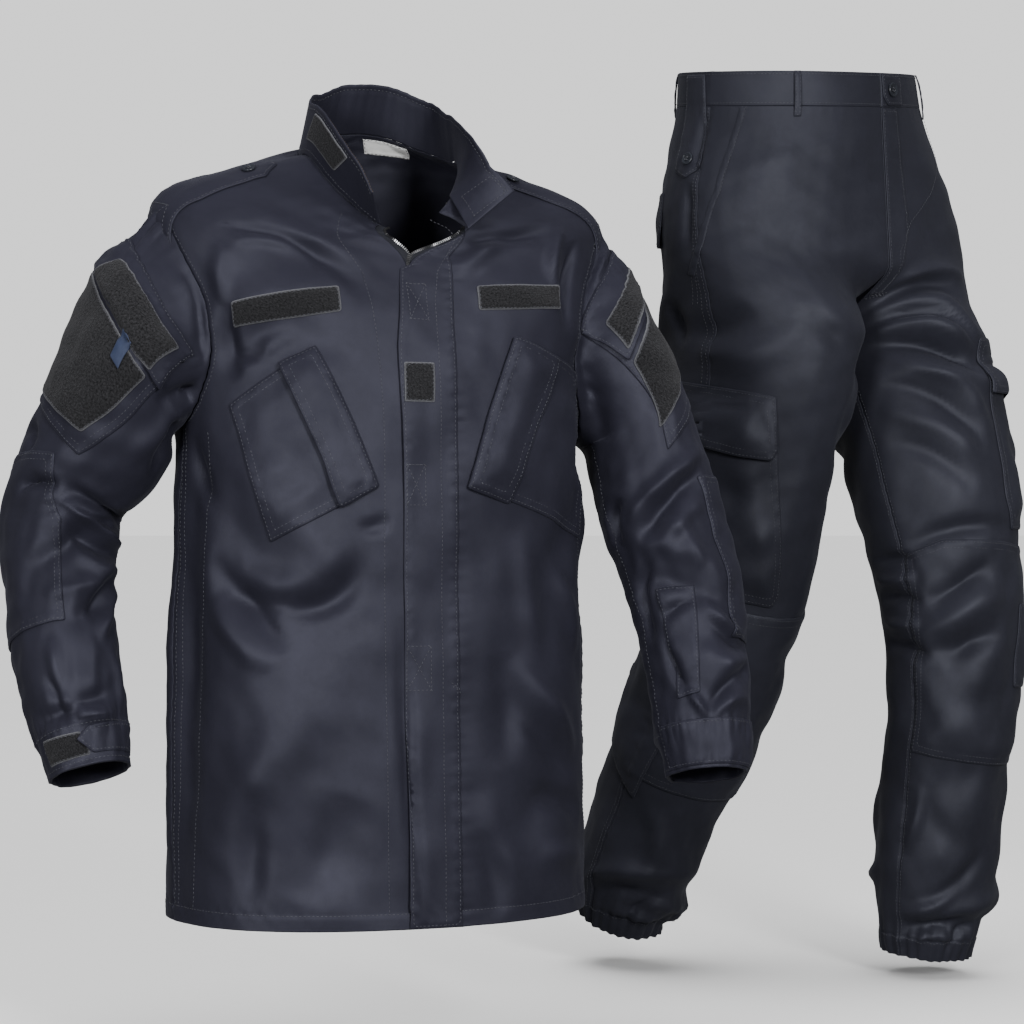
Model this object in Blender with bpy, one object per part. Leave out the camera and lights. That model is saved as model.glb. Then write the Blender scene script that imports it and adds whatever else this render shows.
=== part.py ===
"""Two-piece combat uniform, a coat beside its cargo trousers, both filled out as if worn.

Sizes are in millimetres until an object is made. The origin is between the coat's shoulders,
+Z is up and -Y is the way that the pair is seen from. The coat faces 20 degrees to the side and
the trousers 45, and the trousers stand half a metre behind the coat and to its left.
"""

import math

import bpy
import numpy as np
from mathutils import Matrix, Vector

MM = 0.001

# Cloth and seams
CLOTH = 1.6  # a panel with its seam allowances
PATCH = 1.2  # cloth or hook-and-loop tape sewn on a panel
SEAM_GAP = 0.3  # between panels that meet, and between layers
STEP_DEG = 0.05  # how far the surface is followed to find which way is out
STEP_MM = 0.5

# Coat
COAT_YAW = 20.0
COAT_BOX = 0.045  # how far the chest and back are squarer than an ellipse
SIDE_SEAM = 84.0  # degrees round from centre front
ARMHOLE_FRONT = 25.0  # how far the armhole reaches in front of the side seam
ARMHOLE_BACK = 28.0
# height on the cloth from the hem, z at front, side and back, half width, front and back depth
COAT_SECTIONS = np.array(
    [
        [0, -709, -707, -709, 212, 142, 140],
        [150, -558, -558, -558, 209, 138, 138],
        [310, -398, -398, -398, 206, 133, 128],
        [480, -226, -228, -224, 204, 131, 120],
        [590, -128, -120, -108, 214, 116, 116],
        [690, -62, -13, 10, 227, 90, 84],
        [770, -44, 23, 52, 152, 84, 74],
        [850, -38, 42, 74, 80, 76, 62],
    ],
    dtype=float,
)
HEM_AT, UNDERARM_AT, TIP_AT, NECK_AT = 0.0, 480.0, 690.0, 850.0
V_AT = 655.0  # where the front opening starts to spread
NECK_OPEN_RIGHT = 15.0  # degrees from centre front to the collar's ends
NECK_OPEN_LEFT = 43.0

FRONT_COLUMNS, BACK_COLUMNS = 10, 13

# Sleeves, from the upper arm to the wrist: x, y, z of the middle, half width across and in depth
SLEEVE_SECTIONS = {
    "right": np.array(
        [
            [-259, -80, -230, 68, 75],
            [-301, -72, -306, 58, 66],
            [-302, -92, -397, 51, 59],
            [-287, -124, -477, 49, 53],
            [-265, -149, -560, 39, 40],
        ],
        dtype=float,
    ),
    "left": np.array(
        [
            [265, 65, -240, 54.5, 75],
            [285, 52, -313, 61, 66],
            [309, 30, -401, 55, 59],
            [321, 2, -490, 50, 53],
            [327, -22, -573, 40, 41],
        ],
        dtype=float,
    ),
}
SLEEVE_START = 60.0  # what the sleeve head counts for along the sleeve
# a ring half way down the head: x, y, z of its middle, half height and depth, degrees it tips up
HEAD_RING = {"right": (-230, -84, -159, 86, 80, 67), "left": (223, 77, -160, 85, 80, 74)}
HEAD_HALF = 0.5
HEAD_LEAVES = {"right": 0.8, "left": 0.4}  # how far the sleeve goes on straight from the armhole
SLEEVE_ROUND = 1.2  # mm to a degree round the upper arm

# Trousers, in their own frame: x to the wearer's left, -y the front
TROUSERS_YAW = 45.0
TROUSERS_X, TROUSERS_Y = 471.0, 500.0
WAIST_Z = 165.0  # the seam under the waistband, before the waist tips
WAIST_TIPS = 130.0  # degrees round to where the waist is highest
CROTCH = 275.0  # down from the waist seam
# down from the waist seam, middle in y, half width, front and back depth, how far the waist tips,
# and how much squarer than an ellipse in front on the wearer's left, where the leg steps out, and elsewhere
PELVIS_SECTIONS = np.array(
    [
        [-40, 0, 155, 122, 122, 18, 0.02, 0.02],
        [0, 0, 157, 124, 124, 18, 0.05, 0.02],
        [100, 0, 179, 130, 136, 9, 0.19, 0.02],
        [200, -4, 186, 132, 140, 2, 0.27, 0.02],
        [300, -8, 190, 134, 140, 0, 0.27, 0.02],
    ],
    dtype=float,
)
# down from the waist seam, x, y, half width, half depth; x is mirrored for the right leg
LEG_SECTIONS = {
    "right": np.array(
        [
            [160, 92, -14, 92, 126],
            [275, 92, -26, 91.6, 127],
            [353, 97, -22, 90, 113],
            [434, 100, -12, 84, 98],
            [537, 102, 4, 82, 90],
            [631, 102, 38, 77, 88],
            [739, 102, 86, 76, 84],
            [812, 104, 123, 70, 76],
            [920, 104, 174, 64, 68],
            [966, 102, 192, 50, 53],
        ],
        dtype=float,
    ),
    "left": np.array(
        [
            [160, 92, -34, 92, 124],
            [275, 92, -62, 91.6, 122],
            [385, 93, -106, 91, 103],
            [468, 95, -130, 87, 96],
            [538, 99, -142, 81, 88],
            [632, 99, -151, 75, 80],
            [702, 98, -149, 72, 75],
            [772, 98, -141, 70, 73],
            [879, 98, -129, 69, 72],
            [938, 98, -121, 63, 65],
            [994, 98, -115, 50, 52],
        ],
        dtype=float,
    ),
}
HIP_ROWS = np.array([0.0, 50, 100, 150, 190, 220, 240, 258])
LEG_ROUND = 1.55  # mm to a degree round the thigh
SIGN = {"right": -1.0, "left": 1.0}


def clear_scene():
    for obj in list(bpy.data.objects):
        bpy.data.objects.remove(obj)


def smooth_rows(table, at):
    """The table's other columns, as smooth curves over its first column."""
    at = np.asarray(at, float)
    x, y = table[:, 0], table[:, 1:]
    slope = np.gradient(y, x, axis=0)
    i = np.clip(np.searchsorted(x, at, side="right") - 1, 0, len(x) - 2)
    span = x[i + 1] - x[i]
    t = ((at - x[i]) / span)[..., None]
    span = span[..., None]
    value = (
        (2 * t**3 - 3 * t**2 + 1) * y[i]
        + (t**3 - 2 * t**2 + t) * span * slope[i]
        + (3 * t**2 - 2 * t**3) * y[i + 1]
        + (t**3 - t**2) * span * slope[i + 1]
    )
    return np.moveaxis(value, -1, 0)


def smooth_step(t):
    t = np.clip(t, 0, 1)
    return t * t * (3 - 2 * t)


def unit(v):
    return v / np.maximum(np.linalg.norm(v, axis=-1, keepdims=True), 1e-9)


def yawed(points, degrees, x=0.0, y=0.0):
    c, s = math.cos(math.radians(degrees)), math.sin(math.radians(degrees))
    turned = [points[..., 0] * c - points[..., 1] * s + x, points[..., 0] * s + points[..., 1] * c + y]
    return np.stack([*turned, points[..., 2]], axis=-1)


def ways_out(surface, first, second, first_step=STEP_DEG, second_step=STEP_MM):
    """The unit normal of surface(first, second), by small steps to each side."""
    along = surface(first + first_step, second) - surface(first - first_step, second)
    up = surface(first, second + second_step) - surface(first, second - second_step)
    return unit(np.cross(along, up))


def fold_heights(a, b, folds):
    """How far the cloth stands out at a, b. Each fold runs from a point to another and dies away at its ends."""
    height = np.zeros(np.broadcast(a, b).shape)
    for a0, b0, a1, b1, width, depth, bow in folds:
        length = math.hypot(a1 - a0, b1 - b0)
        da, db = (a1 - a0) / length, (b1 - b0) / length
        along = ((a - a0) * da + (b - b0) * db) / length
        off = -(a - a0) * db + (b - b0) * da - bow * 4 * along * (1 - along)
        fade = smooth_step(1 - np.abs(2 * along - 1)) ** 0.5
        height = height + depth * fade * np.exp(-((off / width) ** 2))
    return height


# The coat's body

# round from centre front and up from the hem, from and to; half width, height, bow: all in mm
COAT_FOLDS = [
    (-262, 0, -262, 470, 16, 9, 0),
    (-232, 20, -226, 460, 16, -7, 0),
    (-215, 520, -60, 560, 30, -9, 20),
    (-200, 560, -40, 640, 22, 8, 10),
    (200, 560, 60, 640, 24, 8, -10),
    (-200, 420, -60, 270, 26, -7, -20),
    (-170, 470, -30, 330, 22, 7, -25),
    (200, 430, 90, 300, 24, -6, 20),
    (-130, 20, -120, 330, 34, 6, 10),
    (130, 10, 150, 300, 34, 6, -10),
    (90, 60, 190, 200, 26, -6, 0),
    (262, 0, 262, 470, 16, 8, 0),
    (400, 560, 300, 380, 30, 8, 10),
    (-400, 560, -300, 380, 30, 8, -10),
    (440, 20, 400, 400, 34, 7, 10),
    (-440, 20, -400, 400, 34, 7, -10),
]


def coat_round(turn):
    """The length along the waist from centre front, for a turn in degrees."""
    turns = np.linspace(-200, 200, 801)
    wide, front = 206.0, 131.0
    e = np.radians(turns)
    rate = np.hypot(wide * np.cos(e), front * np.sin(e)) * math.radians(turns[1] - turns[0])
    length = np.cumsum(rate)
    return np.interp(turn, turns, length - np.interp(0.0, turns, length))


def nearest(turn):
    """The same direction between -180 and 180."""
    return np.mod(np.asarray(turn, float) + 180, 360) - 180


def bare_coat(turn, up):
    e = np.radians(turn)
    c, s = np.cos(e), np.sin(e)
    z_front, z_side, z_back, half, front, back = smooth_rows(COAT_SECTIONS, up)
    square = 1 + COAT_BOX * np.sin(2 * e) ** 2
    x = half * s * square
    y = -np.where(c > 0, front, back) * c * square
    z = z_side + (z_front - z_side) * np.maximum(c, 0) ** 2 + (z_back - z_side) * np.maximum(-c, 0) ** 2
    return np.stack([x, y, z], axis=-1)


def coat(turn, up):
    turn, up = np.broadcast_arrays(np.asarray(turn, float), np.asarray(up, float))
    height = fold_heights(coat_round(nearest(turn)), up, COAT_FOLDS)
    points = bare_coat(turn, up) + height[..., None] * ways_out(bare_coat, turn, up)
    return yawed(points, COAT_YAW)


def armhole_reach(up):
    """How far round the armhole reaches at a height, as a share of its greatest reach."""
    middle, half = (UNDERARM_AT + TIP_AT) / 2, (TIP_AT - UNDERARM_AT) / 2
    return np.sqrt(np.clip(1 - ((up - middle) / half) ** 2, 0, 1))


def armhole(side, turn):
    """The armhole's outline: 0 degrees is the underarm, 90 the front, 180 the shoulder's tip."""
    a = np.radians(turn)
    middle, half = (UNDERARM_AT + TIP_AT) / 2, (TIP_AT - UNDERARM_AT) / 2
    reach = np.where(np.sin(a) > 0, ARMHOLE_FRONT, ARMHOLE_BACK)
    return SIGN[side] * (SIDE_SEAM - reach * np.sin(a)), middle - half * np.cos(a)


# Sleeves

# round from the underarm in degrees, along the sleeve; half width, height, bow: all in mm
SLEEVE_FOLDS = {
    "right": [
        (40, 150, 150, 235, 14, -8, 6),
        (20, 215, 120, 255, 12, 7, 6),
        (10, 245, 110, 290, 12, -6, 4),
        (60, 420, 190, 465, 12, 6, -8),
        (20, 440, 150, 485, 11, -6, -8),
        (200, 200, 330, 250, 14, 7, 0),
        (215, 250, 340, 290, 12, -6, 0),
    ],
    "left": [
        (30, 160, 130, 225, 14, 8, 6),
        (20, 195, 120, 260, 12, -7, 6),
        (40, 290, 140, 350, 14, 6, -6),
        (40, 450, 170, 420, 11, -6, 6),
        (60, 480, 190, 450, 11, 6, 6),
        (200, 200, 330, 250, 14, 7, 0),
        (215, 250, 340, 290, 12, -6, 0),
    ],
}


def sleeve_line(side):
    """The sleeve's sections with the length along its middle in front."""
    rows = SLEEVE_SECTIONS[side]
    steps = np.linalg.norm(np.diff(rows[:, :3], axis=0), axis=1)
    return np.column_stack([SLEEVE_START + np.concatenate([[0], np.cumsum(steps)]), rows])


def sleeve_end(side):
    return sleeve_line(side)[-1, 0]


def sleeve_ring(side, turn, along):
    """A point of the sleeve's own tube: 0 degrees is the side towards the body, 90 the front."""
    line = sleeve_line(side)
    x, y, z, across, depth = smooth_rows(line, along)
    ahead = np.stack(smooth_rows(line, np.asarray(along) + 1.0)[:3], axis=-1)
    behind = np.stack(smooth_rows(line, np.asarray(along) - 1.0)[:3], axis=-1)
    down = unit(ahead - behind)
    outward = np.array([SIGN[side] * math.cos(math.radians(COAT_YAW)), SIGN[side] * math.sin(math.radians(COAT_YAW)), 0.0])
    outward = unit(outward - (down @ outward)[..., None] * down)
    forward = SIGN[side] * np.cross(down, outward)
    a = np.radians(turn)[..., None]
    middle = np.stack([x, y, z], axis=-1)
    return middle - across[..., None] * np.cos(a) * outward + depth[..., None] * np.sin(a) * forward


def sleeve_start(side, turn):
    """The armhole, a seam's gap out from it, and the way that the sleeve leaves it."""
    place, out = coat(*armhole(side, turn)), ways_out(coat, *armhole(side, turn))
    round_it = coat(*armhole(side, turn + 0.5)) - coat(*armhole(side, turn - 0.5))
    away = -SIGN[side] * unit(np.cross(out, round_it))
    under = (((1 + np.cos(np.radians(turn))) / 2) ** 1.5)[..., None]
    leaves = away * (1 - under) + (out + np.array([0, 0, -0.3])) * under
    return place + SEAM_GAP * away, unit(leaves)


def head_ring(side, turn):
    x, y, z, height, depth, tip = HEAD_RING[side]
    c, s = math.cos(math.radians(COAT_YAW)), math.sin(math.radians(COAT_YAW))
    rise = math.radians(tip)
    outward = np.array([SIGN[side] * c * math.cos(rise), SIGN[side] * s * math.cos(rise), math.sin(rise)])
    a = np.radians(turn)[..., None]
    return np.array([x, y, z]) - height * np.cos(a) * outward + depth * np.sin(a) * np.array([s, -c, 0.0])


def curve(start, leaves, end, arrives, t):
    """A smooth curve from a place and direction to another; the directions' lengths count."""
    return (
        (2 * t**3 - 3 * t**2 + 1) * start
        + (t**3 - 2 * t**2 + t) * leaves
        + (3 * t**2 - 2 * t**3) * end
        + (t**3 - t**2) * arrives
    )


def bare_sleeve(side, turn, along):
    """The sleeve's head joins the armhole to the tube, and past it the tube follows the arm."""
    turn, along = np.broadcast_arrays(np.asarray(turn, float), np.asarray(along, float))
    ring = sleeve_ring(side, turn, np.maximum(along, SLEEVE_START))
    start, leaves = sleeve_start(side, turn)
    middle = head_ring(side, turn)
    first = sleeve_ring(side, turn, np.full(turn.shape, SLEEVE_START))
    line = SLEEVE_SECTIONS[side]
    down = unit(line[1, :3] - line[0, :3])
    upper = np.linalg.norm(middle - start, axis=-1, keepdims=True)
    lower = np.linalg.norm(first - middle, axis=-1, keepdims=True)
    passes = unit(unit(middle - start) + unit(first - middle))
    t = np.clip(along / SLEEVE_START, 0, 1)[..., None]
    head = np.where(
        t < HEAD_HALF,
        curve(start, leaves * upper * HEAD_LEAVES[side], middle, passes * upper, t / HEAD_HALF),
        curve(middle, passes * lower, first, down * lower, (t - HEAD_HALF) / (1 - HEAD_HALF)),
    )
    return np.where((along < SLEEVE_START)[..., None], head, ring)


def sleeve_plan(side, turn, along):
    """Round from the underarm at the upper arm's size, and down from its first section, both in mm."""
    turn, along = np.broadcast_arrays(np.asarray(turn, float), np.asarray(along, float))
    steps = np.linspace(0, SLEEVE_START, 9)
    path = bare_sleeve(side, turn[..., None], np.broadcast_to(steps, turn.shape + (9,)))
    length = np.linalg.norm(np.diff(path, axis=-2), axis=-1).sum(axis=-1)
    down = np.where(along < SLEEVE_START, (along / SLEEVE_START - 1) * length, along - SLEEVE_START)
    return np.stack([turn * SLEEVE_ROUND, down], axis=-1)


def sleeve(side, turn, along):
    turn, along = np.broadcast_arrays(np.asarray(turn, float), np.asarray(along, float))
    surface = lambda t, s: bare_sleeve(side, t, s)
    height = fold_heights(np.mod(turn, 360), along, SLEEVE_FOLDS[side])
    out = -SIGN[side] * ways_out(surface, turn, np.maximum(along, 2 * STEP_MM))
    return bare_sleeve(side, turn, along) + height[..., None] * out


# Trousers

# round from the side seam through the front in degrees, down from the waist seam;
# half width, height, bow: all in mm
LEG_FOLDS = {
    "right": [
        (200, 260, 120, 330, 16, -6, 4),
        (90, 600, 190, 640, 16, -6, 6),
        (200, 600, 330, 640, 16, 7, 6),
        (190, 650, 330, 690, 14, -8, 4),
        (40, 900, 160, 930, 10, 8, 4),
        (60, 940, 200, 960, 9, -7, 4),
    ],
    "left": [
        (40, 300, 170, 250, 13, 7, -14),
        (50, 335, 170, 285, 13, -7, -14),
        (60, 375, 175, 320, 14, 6, -14),
        (100, 610, 190, 640, 14, -7, 4),
        (60, 760, 170, 690, 20, 6, 6),
        (30, 900, 150, 935, 12, 8, 4),
        (60, 940, 200, 960, 9, -8, 4),
    ],
}


def pelvis(turn, down):
    middle, half, front, back, tip, stepped, plain = smooth_rows(PELVIS_SECTIONS, down)
    e = np.radians(turn)
    c, s = np.cos(e), np.sin(e)
    square = 1 + np.where((c > 0) & (s > 0), stepped, plain) * np.sin(2 * e) ** 2
    y = middle - np.where(c > 0, front, back) * c * square
    tipped = tip * np.cos(e - math.radians(WAIST_TIPS))
    return np.stack([half * s * square, y, WAIST_Z - down + tipped], axis=-1)


def leg_ring(side, turn, down):
    """A point of the leg's own tube: 0 degrees is the side seam, 90 the front, 180 the inseam."""
    table = LEG_SECTIONS[side]
    x, y, half, depth = smooth_rows(table, down)
    ahead = smooth_rows(table, np.asarray(down) + 1.0)
    behind = smooth_rows(table, np.asarray(down) - 1.0)
    lean = np.stack([SIGN[side] * (ahead[0] - behind[0]), ahead[1] - behind[1], np.full(x.shape, -2.0)], axis=-1)
    level = smooth_step((down - CROTCH) / 150)[..., None]
    run = unit(lean * level + np.array([0.0, 0.0, -2.0]) * (1 - level))
    outward = np.array([SIGN[side], 0.0, 0.0])
    outward = unit(outward - (run @ outward)[..., None] * run)
    forward = SIGN[side] * np.cross(run, outward)
    a = np.radians(turn)[..., None]
    middle = np.stack([SIGN[side] * x, y, WAIST_Z - down], axis=-1)
    return middle + half[..., None] * np.cos(a) * outward + depth[..., None] * np.sin(a) * forward


def bare_leg(side, turn, down):
    """0 to 180 is the front panel and 180 to 360 the back, above the crotch as well."""
    turn, down = np.broadcast_arrays(np.asarray(turn, float), np.asarray(down, float))
    front = turn <= 180
    share = np.where(front, turn, 360 - turn) / 180
    around = SIGN[side] * np.where(front, 90 - 90 * share, 90 + 90 * share)
    outer = 1 - share
    start = CROTCH - 85 - 75 * outer
    blend = smooth_step((down - start) / (CROTCH - start))[..., None]
    points = pelvis(around, down) * (1 - blend) + leg_ring(side, turn, np.maximum(down, CROTCH - 160)) * blend
    return points


def leg(side, turn, down):
    turn, down = np.broadcast_arrays(np.asarray(turn, float), np.asarray(down, float))
    centre = np.where(turn <= 180, np.clip(turn, 0.1, 179.9), np.clip(turn, 180.1, 359.9))
    surface = lambda t, d: bare_leg(side, t, d)
    height = fold_heights(turn, down, LEG_FOLDS[side])
    out = SIGN[side] * ways_out(surface, centre, down)
    points = bare_leg(side, turn, down) + height[..., None] * out
    return yawed(points, TROUSERS_YAW, TROUSERS_X, TROUSERS_Y)


# Cloth and solids


class Cloth:
    """A sheet of cloth: its points, the way out at each, its place on the pattern, and its triangles."""

    def __init__(self, points, outs, plan, triangles):
        self.points, self.outs, self.plan = points, unit(outs), plan
        corners = [points[triangles[:, k]] for k in range(3)]
        facing = np.cross(corners[1] - corners[0], corners[2] - corners[0])
        agrees = (facing * outs[triangles[:, 0]]).sum() > 0
        self.triangles = triangles if agrees else triangles[:, ::-1]


def grid_cloth(points, outs, plan):
    rows, columns = points.shape[:2]
    index = np.arange(rows * columns).reshape(rows, columns)
    a, b = index[:-1, :-1].ravel(), index[:-1, 1:].ravel()
    c, d = index[1:, 1:].ravel(), index[1:, :-1].ravel()
    triangles = np.concatenate([np.column_stack([a, b, c]), np.column_stack([a, c, d])])
    return Cloth(points.reshape(-1, 3), outs.reshape(-1, 3), plan.reshape(-1, 2), triangles)


def slide_in(points, edges, gap=SEAM_GAP / 2):
    """Moves the named edges of a grid of points in by half a seam's gap."""
    points = points.copy()
    for edge, next_to in [e for e in (("top", 1), ("bottom", 1), ("start", 1), ("end", 1)) if e[0] in edges]:
        if edge == "bottom":
            points[0] += gap * unit(points[next_to] - points[0])
        elif edge == "top":
            points[-1] += gap * unit(points[-2] - points[-1])
        elif edge == "start":
            points[:, 0] += gap * unit(points[:, next_to] - points[:, 0])
        else:
            points[:, -1] += gap * unit(points[:, -2] - points[:, -1])
    return points


def welded(points, outs, plan, triangles):
    """Points at one place made one. Cuts give the same point on both sides of an edge."""
    _, first, index = np.unique(np.round(points, 4), axis=0, return_index=True, return_inverse=True)
    triangles = index.reshape(-1)[triangles]
    whole = (
        (triangles[:, 0] != triangles[:, 1])
        & (triangles[:, 1] != triangles[:, 2])
        & (triangles[:, 0] != triangles[:, 2])
    )
    return points[first], outs[first], plan[first], triangles[whole]


def joined(*sheets):
    """Sheets that share an edge's points, as one."""
    base = np.cumsum([0] + [len(sheet.points) for sheet in sheets])
    return Cloth(
        *welded(
            np.concatenate([sheet.points for sheet in sheets]),
            np.concatenate([sheet.outs for sheet in sheets]),
            np.concatenate([sheet.plan for sheet in sheets]),
            np.concatenate([sheet.triangles + start for sheet, start in zip(sheets, base)]),
        )
    )


def cut(cloth, outline):
    """The part of the cloth inside a convex outline on its pattern."""
    polygons = []
    rows = np.column_stack([cloth.points, cloth.outs, cloth.plan])
    outline = [np.array(p, float) for p in outline]
    area = sum(p[0] * q[1] - p[1] * q[0] for p, q in zip(outline, outline[1:] + outline[:1]))
    if area < 0:
        outline = outline[::-1]
    low, high = np.min(outline, axis=0), np.max(outline, axis=0)
    for triangle in cloth.triangles:
        corners = cloth.plan[triangle]
        if (corners.min(axis=0) > high).any() or (corners.max(axis=0) < low).any():
            continue
        polygon = [rows[i] for i in triangle]
        for start, end in zip(outline, outline[1:] + outline[:1]):
            normal = np.array([-(end - start)[1], (end - start)[0]])
            kept = []
            for p, q in zip(polygon, polygon[1:] + polygon[:1]):
                dp, dq = normal @ (p[6:] - start), normal @ (q[6:] - start)
                if dp >= 0:
                    kept.append(p)
                if (dp >= 0) != (dq >= 0):
                    one, two, d_one, d_two = (p, q, dp, dq) if tuple(p) < tuple(q) else (q, p, dq, dp)
                    kept.append(one + (two - one) * (d_one / (d_one - d_two)))
            polygon = kept
            if len(polygon) < 3:
                break
        if len(polygon) >= 3:
            polygons.append(polygon)
    stacked = np.array([row for polygon in polygons for row in polygon])
    triangles, base = [], 0
    for polygon in polygons:
        triangles += [(base, base + k, base + k + 1) for k in range(1, len(polygon) - 1)]
        base += len(polygon)
    points, outs, plan, triangles = welded(
        stacked[:, :3], stacked[:, 3:6], stacked[:, 6:], np.array(triangles)
    )
    return Cloth(points, outs, plan, triangles)


def rim_edges(triangles):
    """The directed edges that only one triangle has."""
    edges = {}
    for a, b, c in triangles:
        for edge in ((a, b), (b, c), (c, a)):
            edges[edge] = True
    return [edge for edge in edges if (edge[1], edge[0]) not in edges]


def material(name, colour, roughness, metallic=0.0):
    found = bpy.data.materials.get(name)
    if found:
        return found
    made = bpy.data.materials.new(name)
    made.use_nodes = True
    shader = made.node_tree.nodes["Principled BSDF"]
    shader.inputs["Base Color"].default_value = (*colour, 1.0)
    shader.inputs["Roughness"].default_value = roughness
    shader.inputs["Metallic"].default_value = metallic
    return made


def finish(name):
    colours = {
        "navy_twill": ((0.030, 0.033, 0.048), 0.55),
        "black_loop": ((0.012, 0.012, 0.013), 0.95),
        "dark_button": ((0.05, 0.055, 0.07), 0.35),
        "white_label": ((0.86, 0.86, 0.86), 0.7),
        "zip_tape": ((0.02, 0.022, 0.03), 0.6),
    }
    colour, roughness = colours[name]
    return material(name, colour, roughness)


def solid(name, points, faces, look):
    mesh = bpy.data.meshes.new(name)
    mesh.from_pydata([tuple(p) for p in points * MM], [], [tuple(int(i) for i in f) for f in faces])
    mesh.materials.append(finish(look))
    mesh.shade_smooth()
    mesh.set_sharp_from_angle(angle=math.radians(40))
    obj = bpy.data.objects.new(name, mesh)
    bpy.context.scene.collection.objects.link(obj)
    return obj


def wall(name, cloth, low, high, look="navy_twill"):
    """A closed wall between two heights over a cloth's points. A height may vary over the pattern."""
    low = low(cloth.plan) if callable(low) else np.full(len(cloth.points), low)
    high = high(cloth.plan) if callable(high) else np.full(len(cloth.points), high)
    count = len(cloth.points)
    points = np.concatenate([cloth.points + high[:, None] * cloth.outs, cloth.points + low[:, None] * cloth.outs])
    faces = [tuple(t) for t in cloth.triangles] + [tuple(t[::-1] + count) for t in cloth.triangles]
    for a, b in rim_edges(cloth.triangles):
        faces += [(b, a, a + count), (b, a + count, b + count)]
    return solid(name, points, faces, look)


# Panels


def coat_rows():
    """Heights from the hem to the neck, close together where the armhole turns."""
    body = np.linspace(HEM_AT, UNDERARM_AT, 10)
    middle, half = (UNDERARM_AT + TIP_AT) / 2, (TIP_AT - UNDERARM_AT) / 2
    armhole_rows = middle - half * np.cos(np.linspace(0, math.pi, 9))[1:]
    neck = np.linspace(TIP_AT, NECK_AT, 5)[1:]
    return np.concatenate([body, armhole_rows, neck])


def front_edge(side, up):
    """Degrees from centre front to the front's own edge, which spreads into the open neck."""
    spread = NECK_OPEN_RIGHT if side == "right" else NECK_OPEN_LEFT
    return spread * smooth_step((up - V_AT) / (NECK_AT - V_AT))


def coat_panel(starts, ends, columns):
    up = coat_rows()
    share = np.linspace(0, 1, columns)
    turn = starts(up)[:, None] * (1 - share) + ends(up)[:, None] * share
    up = np.broadcast_to(up[:, None], turn.shape)
    points, outs = coat(turn, up), ways_out(coat, turn, up)
    return points, outs, np.stack([coat_round(nearest(turn)), up], axis=-1), turn


def coat_front(side):
    def edge(up):
        return SIGN[side] * front_edge(side, up)

    def seam(up):
        return SIGN[side] * (SIDE_SEAM - ARMHOLE_FRONT * armhole_reach(up))

    return coat_panel(edge, seam, FRONT_COLUMNS)


def coat_back():
    def seam(up):
        return SIDE_SEAM + ARMHOLE_BACK * armhole_reach(up)

    return coat_panel(seam, lambda up: 360 - seam(up), BACK_COLUMNS)


def sleeve_panel(side):
    turn = np.linspace(0, 360, 17)
    head = SLEEVE_START * np.array([0.0, 0.12, 0.25, 0.38, 0.5, 0.67, 0.84])
    tube = np.linspace(SLEEVE_START, sleeve_end(side), 12)
    along = np.concatenate([head, tube])
    turn, along = np.meshgrid(turn, along)
    surface = lambda t, s: sleeve(side, t, s)
    points = surface(turn, along)
    outs = -SIGN[side] * ways_out(surface, turn, np.maximum(along, 2 * STEP_MM))
    outs[0] = ways_out(coat, *armhole(side, turn[0]))
    points[:, -1], outs[:, -1] = points[:, 0], outs[:, 0]
    return points, outs, sleeve_plan(side, turn, along)


def leg_rows(side):
    return np.concatenate([HIP_ROWS, np.linspace(CROTCH, LEG_SECTIONS[side][-1, 0], 15)])


def leg_panel(side, start, end, columns=9, rows=None):
    turn = np.linspace(start + 0.001, end - 0.001, columns)
    turn, down = np.meshgrid(turn, leg_rows(side) if rows is None else rows)
    surface = lambda t, d: leg(side, t, d)
    points = surface(turn, down)
    outs = SIGN[side] * ways_out(surface, np.clip(turn, start + 0.1, end - 0.1), down)
    plan = np.stack([np.where(turn > 180, turn - 360, turn) * LEG_ROUND, down], axis=-1)
    return points, outs, plan


def leg_cloth(side, rows=None):
    """Both panels of a leg, joined at the side seam, for what is sewn over that seam."""
    front = leg_panel(side, 0, 180, rows=rows)
    back = leg_panel(side, 180, 360, rows=rows)
    back = [grid[:, 1:] for grid in back]
    back[0][:, -1], back[2][:, -1] = front[0][:, 0], front[2][:, 0]
    return joined(grid_cloth(*front), grid_cloth(*back))


def make_panels():
    for side in SIGN:
        points, outs, plan, _ = coat_front(side)
        wall("coat_front_" + side, grid_cloth(slide_in(points, ("start", "end")), outs, plan), -CLOTH, 0.0)
        points, outs, plan = sleeve_panel(side)
        cloth = grid_cloth(points, outs, plan)
        wall("sleeve_" + side, Cloth(*welded(cloth.points, cloth.outs, cloth.plan, cloth.triangles)), -CLOTH, 0.0)
        for name, start, end in (("front", 0, 180), ("back", 180, 360)):
            points, outs, plan = leg_panel(side, start, end)
            cloth = grid_cloth(slide_in(points, ("start", "end")), outs, plan)
            wall("trouser_%s_%s" % (name, side), cloth, -CLOTH, 0.0)
    points, outs, plan, _ = coat_back()
    wall("coat_back", grid_cloth(slide_in(points, ("start", "end")), outs, plan), -CLOTH, 0.0)


# What is sewn on

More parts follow.
